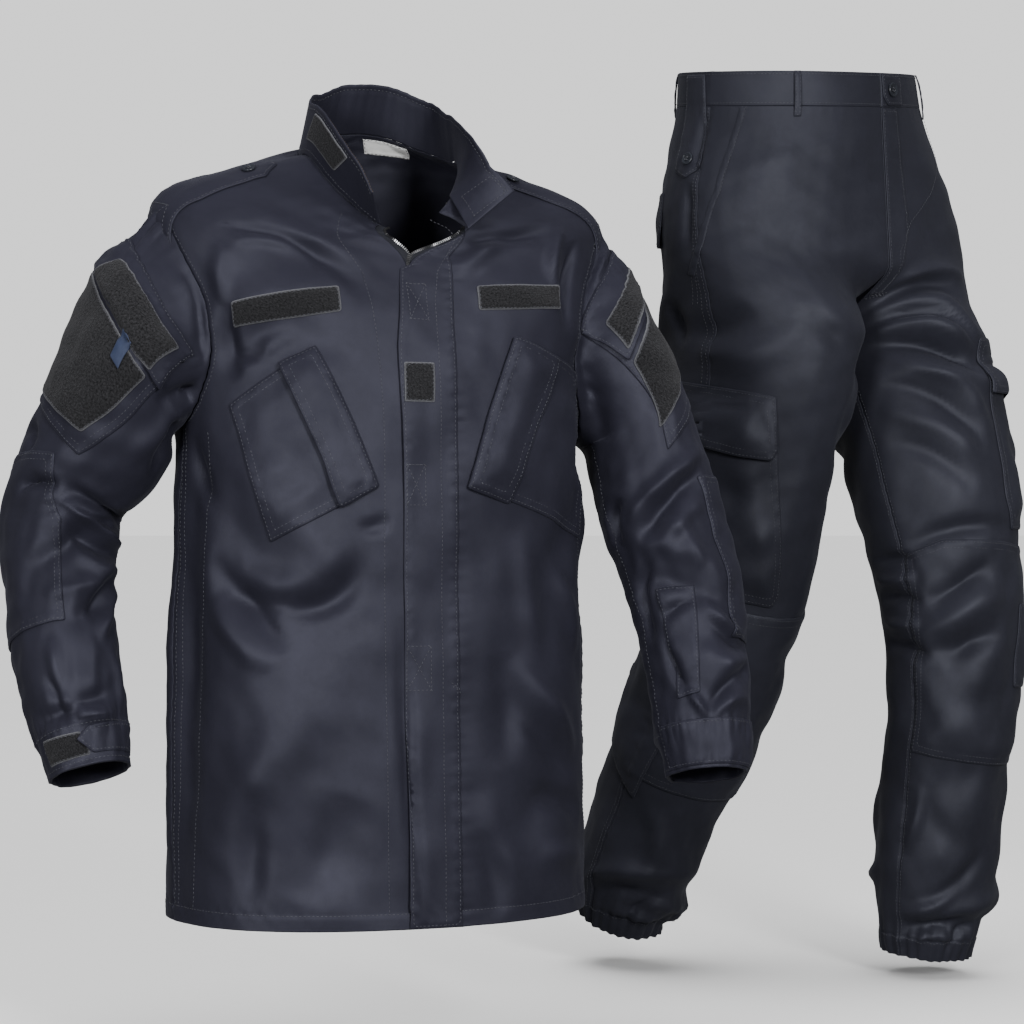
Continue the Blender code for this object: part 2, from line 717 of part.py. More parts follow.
# name: which cloth it lies on, its height over the cloth, thickness, look, and its corners on that cloth's
# pattern. Coat: mm round from centre front and up from the hem. Sleeve: mm round from the
# underarm and down from the upper arm. Leg: mm round from the side seam and down from the waist.
LAYER = PATCH + SEAM_GAP
ONE, TWO, THREE = SEAM_GAP, SEAM_GAP + LAYER, SEAM_GAP + 2 * LAYER
CARGO = 2.5
OVER_CARGO = SEAM_GAP + CARGO + SEAM_GAP
SEWN_ON = {
    "name_tape_right": ("coat", ONE, PATCH, "black_loop", [(-167, 576), (-67, 598), (-65.5, 628), (-164, 602)]),
    "name_tape_left": ("coat", ONE, PATCH, "black_loop", [(65, 604), (150, 603), (145, 629), (62, 634)]),
    "chest_pocket_right": ("coat", ONE, PATCH, "navy_twill", [(-140, 366), (-42, 417), (-95, 557), (-180, 498)]),
    "chest_pocket_left": ("coat", ONE, PATCH, "navy_twill", [(50, 418), (214, 368), (200, 538), (101, 570)]),
    "chest_flap_right": ("coat", TWO, PATCH, "navy_twill", [(-77, 397), (-40, 417), (-93, 560), (-129, 539)]),
    "chest_flap_left": ("coat", TWO, PATCH, "navy_twill", [(48, 416), (94, 401), (158, 550), (99, 573)]),
    "sleeve_pocket_right": ("sleeve_right", ONE, PATCH, "navy_twill", [(87, -113), (199, -161), (244, -140), (244, 6), (144, 24), (87, -58)]),
    "sleeve_pocket_left": ("sleeve_left", ONE, PATCH, "navy_twill", [(104, -130), (188, -173), (236, -150), (236, -58), (99, 28)]),
    "sleeve_flap_right": ("sleeve_right", TWO, PATCH, "navy_twill", [(86, -114), (199, -162), (242, -142), (242, -121), (86, -57)]),
    "sleeve_flap_left": ("sleeve_left", TWO, PATCH, "navy_twill", [(103, -131), (188, -175), (238, -152), (228, -134), (107, -65)]),
    "sleeve_loop_right": ("sleeve_right", TWO, PATCH, "black_loop", [(105, -61), (225, -109), (241, -95), (241, -4), (149, 4)]),
    "sleeve_loop_left": ("sleeve_left", TWO, PATCH, "black_loop", [(109, -62), (213, -122), (204, -60), (140, -22), (95, 5)]),
    "flap_loop_right": ("sleeve_right", THREE, PATCH, "black_loop", [(96, -102), (180, -133), (210, -97), (105, -66)]),
    "flap_loop_left": ("sleeve_left", THREE, PATCH, "black_loop", [(120, -108), (170, -134), (216, -146), (212, -124), (113, -73)]),
    "elbow_patch_right": ("sleeve_right", ONE, PATCH, "navy_twill", [(166, 34), (285, 96), (270, 222), (120, 224), (122, 110)]),
    "elbow_patch_left": ("sleeve_left", ONE, PATCH, "navy_twill", [(133, 58), (270, 62), (270, 222), (136, 224)]),
    "pen_pocket": ("sleeve_left", ONE, PATCH, "navy_twill", [(41, 164), (91, 170), (79, 278), (47, 282)]),
    "cuff_hook_right": ("sleeve_right", ONE, PATCH, "black_loop", [(116, 348), (126, 325), (194, 322), (194, 348)]),
    "cuff_tab_right": ("sleeve_right", TWO, PATCH, "navy_twill", [(3, 318), (114, 321), (134, 332), (111, 348), (3, 348)]),
    "cuff_tab_left": ("sleeve_left", ONE, PATCH, "navy_twill", [(3, 304), (182, 302), (204, 326), (180, 349), (3, 349)]),
    "cargo_pocket_right": ("leg_right", ONE, CARGO, "navy_twill", [(-90, 350), (62, 352), (80, 404), (114, 549), (108, 560), (-56, 560)]),
    "cargo_pocket_left": ("leg_left", ONE, CARGO, "navy_twill", [(-20, 300), (131, 300), (133, 480), (128, 512), (-20, 512)]),
    "cargo_flap_right": ("leg_right", OVER_CARGO, 2.0, "navy_twill", [(-96, 322), (68, 347), (79, 400), (74, 411), (-96, 398)]),
    "cargo_flap_left": ("leg_left", OVER_CARGO, 2.0, "navy_twill", [(-26, 270), (131, 276), (134, 366), (-26, 362)]),
    "knee_patch_right": ("leg_right", ONE, PATCH, "navy_twill", [(4, 570), (275, 566), (275, 776), (4, 780)]),
    "knee_patch_left": ("leg_left", ONE, PATCH, "navy_twill", [(4, 538), (115, 528), (226, 512), (275, 522), (275, 752), (4, 766)]),
    "calf_pocket_right": ("leg_right", TWO, 2.0, "navy_twill", [(-96, 645), (31, 650), (29, 734), (20, 804), (-37, 784), (-96, 760)]),
    "calf_pocket_left": ("leg_left", TWO, 2.0, "navy_twill", [(-16, 590), (123, 590), (123, 676), (-16, 676)]),
    "seat_flap_right": ("leg_right", ONE, 2.0, "navy_twill", [(-178, 104), (-92, 104), (-88, 150), (-94, 170), (-178, 166)]),
    "seat_flap_left": ("leg_left", ONE, 2.0, "navy_twill", [(-178, 104), (-92, 104), (-88, 150), (-94, 170), (-178, 166)]),
    "fly": ("leg_left", ONE, PATCH, "navy_twill", [(246, 2), (278.5, 2), (278.5, 226), (262, 224), (246, 150)]),
}


def sew_on(cloths):
    for name, (cloth, low, thick, look, outline) in SEWN_ON.items():
        wall(name, cut(cloths[cloth], outline), low, low + thick, look)


# The placket's cover, and above the opening its end turned back on the wearer's left front
PLACKET = [(-12, -1), (40, -1), (40, 684), (-7, 662), (-18, 560)]
LAPEL = [(-7, 662), (40, 684), (87, 772), (103, 852), (-40, 852)]
RANK_TAB = [(-13, 541), (17, 541), (16, 500), (-14, 500)]


def make_placket(fronts, left_front):
    strip, turned = cut(fronts, PLACKET), cut(left_front, LAPEL)
    wall("placket", joined(strip, turned), SEAM_GAP, LAYER)
    wall("rank_tab", cut(fronts, RANK_TAB), SEAM_GAP + LAYER, 2 * LAYER, "black_loop")


# The shoulder straps, on the front and back panels across the shoulder seam
EPAULETTE = [(-280, 650), (-217, 650), (-201, 714), (-200, 785), (-228, 812), (-276, 812)]
EPAULETTE_BUTTON = {"right": (-228, 779), "left": (219, 786)}


def shoulder_cloth(side, front, back):
    columns = np.abs(nearest(back[3][0])) < 150
    columns &= np.sign(nearest(back[3][0])) == SIGN[side]
    return joined(grid_cloth(*front), grid_cloth(*[grid[:, columns] for grid in back[:3]]))


def button(name, cloth, at, radius, above, look="dark_button"):
    """A sewn button over a place on a cloth's pattern, just clear of the cloth round it."""
    for triangle in cloth.triangles:
        a, b, c = cloth.plan[triangle]
        share = np.linalg.solve(np.array([[*a, 1], [*b, 1], [*c, 1]]).T, np.array([*at, 1.0]))
        if (share >= 0).all():
            middle = share @ cloth.points[triangle]
            out = unit(share @ cloth.outs[triangle])
            break
    weights = [(i / 8, j / 8, 1 - i / 8 - j / 8) for i in range(9) for j in range(9 - i)]
    samples = np.concatenate([np.array(weights) @ cloth.points[t] for t in cloth.triangles])
    outs = np.concatenate([np.array(weights) @ cloth.outs[t] for t in cloth.triangles])
    samples = samples + above * unit(outs)
    heights = (samples - middle) @ out
    aside = np.linalg.norm(samples - middle - heights[:, None] * out, axis=1)
    seat = heights[(aside < radius + 2) & (np.abs(heights) < 20)].max() + SEAM_GAP
    along = unit(np.cross(out, np.array([0.3, 0.2, 1.0])))
    across = np.cross(out, along)
    # radius and height of each ring of the turned profile
    profile = [(0.0, 0.0), (0.72, 0.0), (1.0, 0.9), (1.0, 2.1), (0.86, 2.8), (0.7, 2.8), (0.6, 2.0), (0.0, 2.0)]
    count, points = 12, []
    for share_of, height in profile[1:-1]:
        for k in range(count):
            a = 2 * math.pi * k / count
            points.append(middle + (seat + height) * out + radius * share_of * (math.cos(a) * along + math.sin(a) * across))
    rings = len(profile) - 2
    points += [middle + seat * out, middle + (seat + 2.0) * out]
    faces = []
    for k in range(count):
        n = (k + 1) % count
        faces.append((rings * count, n, k))
        faces.append((rings * count + 1, (rings - 1) * count + k, (rings - 1) * count + n))
        for ring in range(rings - 1):
            a, b = ring * count + k, ring * count + n
            faces += [(a, b, b + count), (a, b + count, a + count)]
    return solid(name, np.array(points), faces, look)


# The collar, from its end at the wearer's right round the back to its loose end at the left:
# turn on the neck seam, where its lower edge lies from there, and where its upper edge lies
COLLAR = np.array(
    [
        [-15, 0, 0, 0, -6, -38, 26],
        [-30, 0, 0, 0, 6, -38, 31],
        [-50, 0, 0, 0, 15, -36, 34],
        [-67, 0, 0, 0, 16, -32, 38],
        [-84, 0, 0, 0, 14, -24, 45],
        [-100, 0, 0, 0, 12, -17, 50],
        [-120, 0, 0, 0, 13, -14, 52],
        [-140, 0, 0, 0, 14, -15, 50],
        [-180, 0, 0, 0, 12, -22, 47],
        [-220, 0, 0, 0, 3, -17, 50],
        [-240, 0, 0, 0, -3, -15, 51],
        [-260, 0, 0, 0, -6, -18, 48],
        [-276, 0, 0, 0, -3, -26, 42],
        [-290, 0, 0, 0, 6, -36, 34],
        [-300, 0, 0, 0, 16, -38, 31],
        [-317, 0, 0, 0, 40, -22, 27],
        [-327, 8, -24, -16, 52, -22, 16],
        [-337, 18, -38, -36, 63, -18, 4],
    ],
    dtype=float,
)
COLLAR_CLOTH = 2.2
COLLAR_HOOK = [(-84, 0.30), (-50, 0.30), (-44, 0.86), (-80, 0.86)]  # turn, share of the collar's height


def collar(turn, share):
    """A point of the collar: share 0 is its lower edge and 1 its upper."""
    turn, share = np.broadcast_arrays(np.asarray(turn, float), np.asarray(share, float))
    table = COLLAR[::-1]
    lower = np.stack([np.interp(turn, table[:, 0], table[:, k]) for k in (1, 2, 3)], axis=-1)
    upper = np.stack(smooth_rows(table[:, [0, 4, 5, 6]], turn), axis=-1)
    seam = coat(np.maximum(turn, -360 + NECK_OPEN_LEFT), NECK_AT)
    rise = upper - lower
    return seam + lower + unit(rise) * 2 * SEAM_GAP + share[..., None] * rise


def make_collar(front_right, front_left, back):
    turns = [front_right[3][-1], -360 + back[3][-1][::-1], -360 + front_left[3][-1][::-1]]
    turns = np.concatenate([turns[0], turns[1][1:], turns[2][1:], [-327, -337]])
    turn, share = np.meshgrid(turns, np.linspace(0, 1, 5))
    points = collar(turn, share)
    outs = ways_out(collar, np.clip(turn, -336.9, -15.1), np.clip(share, 0.02, 0.98), STEP_DEG, 0.01)
    cloth = grid_cloth(points, outs, np.stack([turn, share], axis=-1))
    wall("collar", cloth, -COLLAR_CLOTH, 0.0)
    wall("collar_hook", cut(cloth, COLLAR_HOOK), SEAM_GAP, LAYER, "black_loop")


NECK_LABEL = [(146, 790), (179, 790), (179, 846), (146, 846)]  # turn, up
ZIP_TAPE = 11.0


def make_zip():
    """The open top of the zip: a tape along each front's edge, joined where the fronts meet."""
    up = coat_rows()
    up = up[up > V_AT + 12]
    half = smooth_rows(COAT_SECTIONS, up)[3]
    gap = np.degrees(SEAM_GAP / half) + 0.05
    right = -front_edge("right", up) + gap
    left = front_edge("left", up) - gap
    tape = np.minimum(np.degrees(ZIP_TAPE / half), (left - right) / 2)
    columns = np.stack([right, right + tape, left - tape, left], axis=-1)
    closed = (left - right) / 2 <= np.degrees(ZIP_TAPE / half)
    columns[closed, 2] = columns[closed, 1]
    up = np.broadcast_to(up[:, None], columns.shape)
    points, outs = coat(columns, up), ways_out(coat, columns, up)
    plan = np.stack([columns, up], axis=-1)
    pair = [grid_cloth(points[:, k : k + 2], outs[:, k : k + 2], plan[:, k : k + 2]) for k in (0, 2)]
    wall("zip", joined(*pair), -1.5, -0.3, "zip_tape")


# Trousers' waist

WAISTBAND = 40.0
WAISTBAND_CLOTH = 2.2
# turn and side of the belt loops that the solids show, how wide, and how far they stand off
BELT_LOOPS = {"belt_loop_right": ("right", 92, 10, 1.5), "belt_loop_left": ("left", 101, 10, 3.4)}
SIDE_TAB = [(-60, -36), (-12, -36), (0, 74), (-27, 90), (-57, 80)]


def make_waist():
    rows = np.array([-WAISTBAND, -WAISTBAND / 2, -SEAM_GAP])
    bands, centre_back = [], None
    for side in SIGN:
        front = leg_panel(side, 0, 180, rows=rows)
        back = leg_panel(side, 180, 360, rows=rows)
        centre_back = back[0][:, 0].copy() if centre_back is None else centre_back
        back[0][:, 0] = centre_back
        back[0][:, -1], back[2][:, -1] = front[0][:, 0], front[2][:, 0]
        inset = SEAM_GAP / 2
        front[0][:, -1] += inset * unit(front[0][:, -2] - front[0][:, -1])
        bands += [grid_cloth(*front), grid_cloth(*back)]
    wall("waistband", joined(*bands), -WAISTBAND_CLOTH, 0.0)
    for side in SIGN:
        hips = leg_cloth(side, np.concatenate([[-WAISTBAND, -WAISTBAND / 2], HIP_ROWS]))
        tab = cut(hips, SIDE_TAB)
        wall("side_tab_" + side, tab, SEAM_GAP, SEAM_GAP + 2.0)
        button("side_button_" + side, tab, (-27, 66), 7.5, SEAM_GAP + 2.0)
        for name, (on, turn, width, off) in BELT_LOOPS.items():
            if on != side:
                continue
            x = turn * LEG_ROUND
            strip = cut(hips, [(x - width / 2, -43), (x + width / 2, -43), (x + width / 2, 13), (x - width / 2, 13)])

            def rise(plan, off=off):
                return SEAM_GAP + off * np.sin(np.clip((plan[:, 1] + 40) / 53, 0, 1) * math.pi) ** 0.7

            wall(name, strip, rise, lambda plan, rise=rise: rise(plan) + 1.6)
    left = leg_cloth("left", np.concatenate([[-WAISTBAND, -WAISTBAND / 2], HIP_ROWS]))
    end = cut(left, [(278, -39), (233, -39), (233, -2), (266, -2), (275, -12)])
    wall("waist_tab", end, SEAM_GAP, SEAM_GAP + 2.0)
    button("waist_button", end, (258, -20), 8.5, SEAM_GAP + 2.0)


def main():
    clear_scene()
    make_panels()
    front_right, front_left, back = coat_front("right"), coat_front("left"), coat_back()
    fronts = joined(grid_cloth(*front_right[:3]), grid_cloth(*front_left[:3]))
    cloths = {"coat": fronts}
    for side in SIGN:
        sheet = grid_cloth(*sleeve_panel(side))
        cloths["sleeve_" + side] = sheet
        cloths["leg_" + side] = leg_cloth(side)
    sew_on(cloths)
    make_placket(fronts, grid_cloth(*front_left[:3]))
    for side, front in (("right", front_right), ("left", front_left)):
        shoulder = shoulder_cloth(side, front[:3], back)
        strap = cut(shoulder, [(-SIGN[side] * x, up) for x, up in EPAULETTE])
        wall("epaulette_" + side, strap, SEAM_GAP, SEAM_GAP + 2.4)
        button("epaulette_button_" + side, strap, EPAULETTE_BUTTON[side], 7.0, SEAM_GAP + 2.4)
    make_collar(front_right, front_left, back)
    label = grid_cloth(back[0], back[1], np.stack([back[3], back[2][..., 1]], axis=-1))
    wall("neck_label", cut(label, NECK_LABEL), -CLOTH - LAYER, -CLOTH - SEAM_GAP, "white_label")
    make_zip()
    make_waist()


main()
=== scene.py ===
import math
from functools import partial

import bmesh
import bpy
import numpy as np
from mathutils import Matrix, Vector
from mathutils.geometry import delaunay_2d_cdt


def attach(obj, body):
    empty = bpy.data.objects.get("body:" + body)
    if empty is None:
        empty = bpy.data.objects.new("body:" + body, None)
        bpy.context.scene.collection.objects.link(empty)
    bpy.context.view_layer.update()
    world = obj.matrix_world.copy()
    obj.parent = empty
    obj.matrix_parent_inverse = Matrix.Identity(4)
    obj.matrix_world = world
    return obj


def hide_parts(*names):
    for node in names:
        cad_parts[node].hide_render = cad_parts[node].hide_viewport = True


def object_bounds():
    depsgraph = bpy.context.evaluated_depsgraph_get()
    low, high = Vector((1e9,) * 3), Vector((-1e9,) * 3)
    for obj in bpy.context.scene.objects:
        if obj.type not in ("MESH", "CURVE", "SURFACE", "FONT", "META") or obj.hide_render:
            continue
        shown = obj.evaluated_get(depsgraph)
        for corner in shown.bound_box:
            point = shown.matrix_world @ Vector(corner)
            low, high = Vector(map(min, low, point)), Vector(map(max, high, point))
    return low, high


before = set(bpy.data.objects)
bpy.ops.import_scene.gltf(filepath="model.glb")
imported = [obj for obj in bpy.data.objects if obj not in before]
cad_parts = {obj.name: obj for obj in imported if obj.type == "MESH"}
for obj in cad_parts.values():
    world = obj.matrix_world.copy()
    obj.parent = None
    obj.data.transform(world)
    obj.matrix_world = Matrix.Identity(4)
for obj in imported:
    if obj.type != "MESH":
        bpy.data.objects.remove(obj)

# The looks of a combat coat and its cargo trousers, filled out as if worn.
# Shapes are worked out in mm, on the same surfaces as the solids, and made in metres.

cad_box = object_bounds()

MM = 0.001
CLOTH = 1.6
PATCH = 1.2
SEAM_GAP = 0.3
WAISTBAND = 40.0  # how tall the waistband is
TAPE_WIDE = 10.0  # how much of each of the zip's tapes shows


# Coat
COAT_YAW = 20.0
COAT_ACROSS = np.array([math.cos(math.radians(COAT_YAW)), math.sin(math.radians(COAT_YAW)), 0.0])
COAT_BOX = 0.045  # how far the chest and back are squarer than an ellipse
SIDE_SEAM = 84.0  # degrees round from centre front
ARMHOLE_FRONT = 25.0  # how far the armhole reaches in front of the side seam
ARMHOLE_BACK = 28.0
# height on the cloth from the hem, z at front, side and back, half width, front and back depth
COAT_SECTIONS = np.array([
    [0, -709, -707, -709, 212, 142, 140], [150, -558, -558, -558, 209, 138, 138],
    [310, -398, -398, -398, 206, 133, 128], [480, -226, -228, -224, 204, 131, 120],
    [590, -128, -120, -108, 214, 116, 116], [690, -62, -13, 10, 227, 90, 84], [770, -44, 23, 52, 152, 84, 74],
    [850, -38, 42, 74, 80, 76, 62],
], float)
UNDERARM_AT, TIP_AT, NECK_AT = 480.0, 690.0, 850.0
ARMHOLE_MIDDLE, ARMHOLE_HALF = (UNDERARM_AT + TIP_AT) / 2, (TIP_AT - UNDERARM_AT) / 2
HEM_STITCH = 15.0  # how far the hem's stitching is up from its edge
FRONT_WIDE, BACK_WIDE = 250.0, 540.0  # about how wide the coat's panels are
COAT_CREASED, SLEEVE_CREASED, LEG_CREASED = 1.3, 1.4, 1.4  # how much the fine creases count
COAT_TURNS = np.linspace(-200, 200, 801)
V_AT = 655.0  # where the front opening starts to spread
NECK_OPEN_RIGHT = 15.0  # degrees from centre front to the collar's ends
NECK_OPEN_LEFT = 43.0

# Sleeves, from the upper arm to the wrist: x, y, z of the middle, half width across and in depth
SLEEVE_SECTIONS = {
    "right": np.array([
        [-259, -80, -230, 68, 75], [-301, -72, -306, 58, 66], [-302, -92, -397, 51, 59],
        [-287, -124, -477, 49, 53], [-265, -149, -560, 39, 40],
    ], float),
    "left": np.array([
        [265, 65, -240, 54.5, 75], [285, 52, -313, 61, 66], [309, 30, -401, 55, 59], [321, 2, -490, 50, 53],
        [327, -22, -573, 40, 41],
    ], float),
}
SLEEVE_START = 60.0  # what the sleeve head counts for along the sleeve
# a ring half way down the head: x, y, z of its middle, half height and depth, degrees it tips up
HEAD_RING = {"right": (-230, -84, -159, 86, 80, 67), "left": (223, 77, -160, 85, 80, 74)}
HEAD_HALF = 0.5
HEAD_LEAVES = {"right": 0.8, "left": 0.4}  # how far the sleeve goes on straight from the armhole
SLEEVE_ROUND = 1.2  # mm to a degree round the upper arm

# Trousers, in their own frame: x to the wearer's left, -y the front
TROUSERS_YAW = 45.0
TROUSERS_X, TROUSERS_Y = 471.0, 500.0
WAIST_Z = 165.0  # the seam under the waistband, before the waist tips
WAIST_TIPS = 130.0  # degrees round to where the waist is highest
CROTCH = 275.0  # down from the waist seam
# down from the waist seam, middle in y, half width, front and back depth, how far the waist tips,
# and how much squarer than an ellipse in front on the wearer's left, where the leg steps out, and elsewhere
PELVIS_SECTIONS = np.array([
    [-40, 0, 155, 122, 122, 18, 0.02, 0.02], [0, 0, 157, 124, 124, 18, 0.05, 0.02],
    [100, 0, 179, 130, 136, 9, 0.19, 0.02], [200, -4, 186, 132, 140, 2, 0.27, 0.02],
    [300, -8, 190, 134, 140, 0, 0.27, 0.02],
], float)
# down from the waist seam, x, y, half width, half depth; x is mirrored for the right leg
LEG_SECTIONS = {
    "right": np.array([
        [160, 92, -14, 92, 126], [275, 92, -26, 91.6, 127], [353, 97, -22, 90, 113], [434, 100, -12, 84, 98],
        [537, 102, 4, 82, 90], [631, 102, 38, 77, 88], [739, 102, 86, 76, 84], [812, 104, 123, 70, 76],
        [920, 104, 174, 64, 68], [966, 102, 192, 50, 53],
    ], float),
    "left": np.array([
        [160, 92, -34, 92, 124], [275, 92, -62, 91.6, 122], [385, 93, -106, 91, 103], [468, 95, -130, 87, 96],
        [538, 99, -142, 81, 88], [632, 99, -151, 75, 80], [702, 98, -149, 72, 75], [772, 98, -141, 70, 73],
        [879, 98, -129, 69, 72], [938, 98, -121, 63, 65], [994, 98, -115, 50, 52],
    ], float),
}
LEG_ROUND = 1.55  # mm to a degree round the thigh
SIGN = {"right": -1.0, "left": 1.0}


def smooth_rows(table, at):
    """The table's other columns, as smooth curves over its first column."""
    at = np.asarray(at, float)
    x, y = table[:, 0], table[:, 1:]
    slope = np.gradient(y, x, axis=0)
    i = np.clip(np.searchsorted(x, at, side="right") - 1, 0, len(x) - 2)
    span = x[i + 1] - x[i]
    t = ((at - x[i]) / span)[..., None]
    span = span[..., None]
    value = (
        (2 * t**3 - 3 * t**2 + 1) * y[i]
        + (t**3 - 2 * t**2 + t) * span * slope[i]
        + (3 * t**2 - 2 * t**3) * y[i + 1]
        + (t**3 - t**2) * span * slope[i + 1]
    )
    return np.moveaxis(value, -1, 0)


def smooth_step(t):
    t = np.clip(t, 0, 1)
    return t * t * (3 - 2 * t)


def unit(v):
    return v / np.maximum(np.linalg.norm(v, axis=-1, keepdims=True), 1e-9)


def yawed(points, degrees, x=0.0, y=0.0):
    c, s = math.cos(math.radians(degrees)), math.sin(math.radians(degrees))
    turned = [points[..., 0] * c - points[..., 1] * s + x, points[..., 0] * s + points[..., 1] * c + y]
    return np.stack([*turned, points[..., 2]], axis=-1)


def ways_out(surface, first, second, first_step, second_step):
    """The unit normal of surface(first, second), by small steps to each side."""
    along = surface(first + first_step, second) - surface(first - first_step, second)
    up = surface(first, second + second_step) - surface(first, second - second_step)
    return unit(np.cross(along, up))


def fold_heights(a, b, folds):
    """How far the cloth stands out at a, b. Each fold runs from a point to another and dies away at its ends."""
    height = np.zeros(np.broadcast(a, b).shape)
    for a0, b0, a1, b1, width, depth, bow in folds:
        length = math.hypot(a1 - a0, b1 - b0)
        da, db = (a1 - a0) / length, (b1 - b0) / length
        along = ((a - a0) * da + (b - b0) * db) / length
        off = -(a - a0) * db + (b - b0) * da - bow * 4 * along * (1 - along)
        fade = smooth_step(1 - np.abs(2 * along - 1)) ** 0.5
        height = height + depth * fade * np.exp(-((off / width) ** 2))
    return height


# The coat's body

# round from centre front and up from the hem, from and to; half width, height, bow: all in mm
COAT_FOLDS = [
    (-262, 0, -262, 470, 16, 9, 0), (-232, 20, -226, 460, 16, -7, 0), (-215, 520, -60, 560, 30, -9, 20),
    (-200, 560, -40, 640, 22, 8, 10), (200, 560, 60, 640, 24, 8, -10), (-200, 420, -60, 270, 26, -7, -20),
    (-170, 470, -30, 330, 22, 7, -25), (200, 430, 90, 300, 24, -6, 20), (-130, 20, -120, 330, 34, 6, 10),
    (130, 10, 150, 300, 34, 6, -10), (90, 60, 190, 200, 26, -6, 0), (262, 0, 262, 470, 16, 8, 0),
    (400, 560, 300, 380, 30, 8, 10), (-400, 560, -300, 380, 30, 8, -10), (440, 20, 400, 400, 34, 7, 10),
    (-440, 20, -400, 400, 34, 7, -10),
]


def coat_round(turn):
    """The length along the waist from centre front, for a turn in degrees."""
    wide, front = 206.0, 131.0
    e = np.radians(COAT_TURNS)
    rate = np.hypot(wide * np.cos(e), front * np.sin(e)) * math.radians(COAT_TURNS[1] - COAT_TURNS[0])
    length = np.cumsum(rate)
    return np.interp(turn, COAT_TURNS, length - np.interp(0.0, COAT_TURNS, length))


def coat_turn(x):
    """The turn in degrees for a length along the waist from centre front."""
    return np.interp(x, coat_round(COAT_TURNS), COAT_TURNS)


def nearest(turn):
    """The same direction between -180 and 180."""
    return np.mod(np.asarray(turn, float) + 180, 360) - 180


def bare_coat(turn, up):
    e = np.radians(turn)
    c, s = np.cos(e), np.sin(e)
    z_front, z_side, z_back, half, front, back = smooth_rows(COAT_SECTIONS, up)
    square = 1 + COAT_BOX * np.sin(2 * e) ** 2
    x = half * s * square
    y = -np.where(c > 0, front, back) * c * square
    z = z_side + (z_front - z_side) * np.maximum(c, 0) ** 2 + (z_back - z_side) * np.maximum(-c, 0) ** 2
    return np.stack([x, y, z], axis=-1)


# Creases finer than the solids': from and to, half width, height, bow, in mm on the pattern
COAT_CREASES = [
    (-172, 738, -20, 628, 20, 5, 17), (-160, 690, -40, 610, 12, -6, 30), (-176, 598, -152, 665, 8, 5, 3),
    (-152, 665, -78, 659, 10, 5, 20), (-166, 603, -173, 523, 9, -8, -5), (-171, 523, -106, 575, 9, 5, 5),
    (-137, 556, -173, 551, 7, -5, 7), (-203, 356, -124, 303, 12, -8, -14), (-128, 303, -54, 362, 12, -8, -22),
    (-176, 352, -72, 352, 17, 6, -26), (-178, 322, -122, 262, 9, -8, 2), (-198, 314, -136, 246, 11, 6, -5),
    (-60, 380, -30, 388, 6, -4, -4), (-111, 28, -72, 130, 24, -6, -10), (-157, 20, -155, 140, 12, -5, -3),
    (-200, 60, -85, 228, 24, 5, 8), (83, 260, 86, 150, 15, -6, 6), (110, 380, 118, 240, 13, 5, 4),
    (96, 255, 186, 160, 11, 6, -4), (90, 225, 170, 130, 10, -5, -4), (114, 122, 192, 92, 12, -8, 6),
    (120, 60, 200, 50, 12, 5, 6), (52, 125, 102, 8, 17, 4, 7), (60, 90, 80, 5, 12, -4, 3),
    (144, 352, 195, 252, 11, 5, 6), (66, 723, 156, 709, 17, -7, -5), (43, 652, 106, 728, 12, 5, 0),
    (165, 707, 151, 613, 7, 6, -18), (168, 680, 164, 581, 7, -7, -8), (200, 470, 240, 400, 10, -6, 8),
    (190, 440, 230, 350, 12, 6, 10), (-230, 470, -200, 400, 9, -6, -6), (-16, 300, 0, 10, 6, -5, -4),
    # the back, from under the arms to the waist and down from the shoulders
    (300, 470, 430, 560, 16, 7, 12), (310, 440, 440, 500, 14, -7, 12), (-300, 470, -430, 560, 16, 7, -12),
    (-310, 440, -440, 500, 14, -7, -12), (360, 600, 470, 690, 14, -5, -8), (-350, 610, -460, 700, 14, -5, 8),
    (420, 340, 640, 330, 22, -6, -26), (400, 300, 650, 296, 16, 5, -26), (470, 250, 560, 240, 12, -5, -12),
    (510, 20, 500, 300, 20, 5, 8), (590, 30, 600, 280, 18, -5, -8), (330, 30, 350, 240, 18, -5, 6),
    (-330, 40, -360, 260, 18, 5, 6), (-420, 30, -400, 230, 15, -5, 4),
]
SLEEVE_BACK_CREASES = [
    (240, 66, 390, 96, 12, 7, 8), (240, 96, 400, 118, 10, -7, 8), (250, 128, 390, 134, 12, 6, 8),
    (260, 240, 400, 222, 11, -6, -8), (240, 300, 410, 306, 10, 6, 6), (250, -60, 330, -120, 12, -5, 6),
]
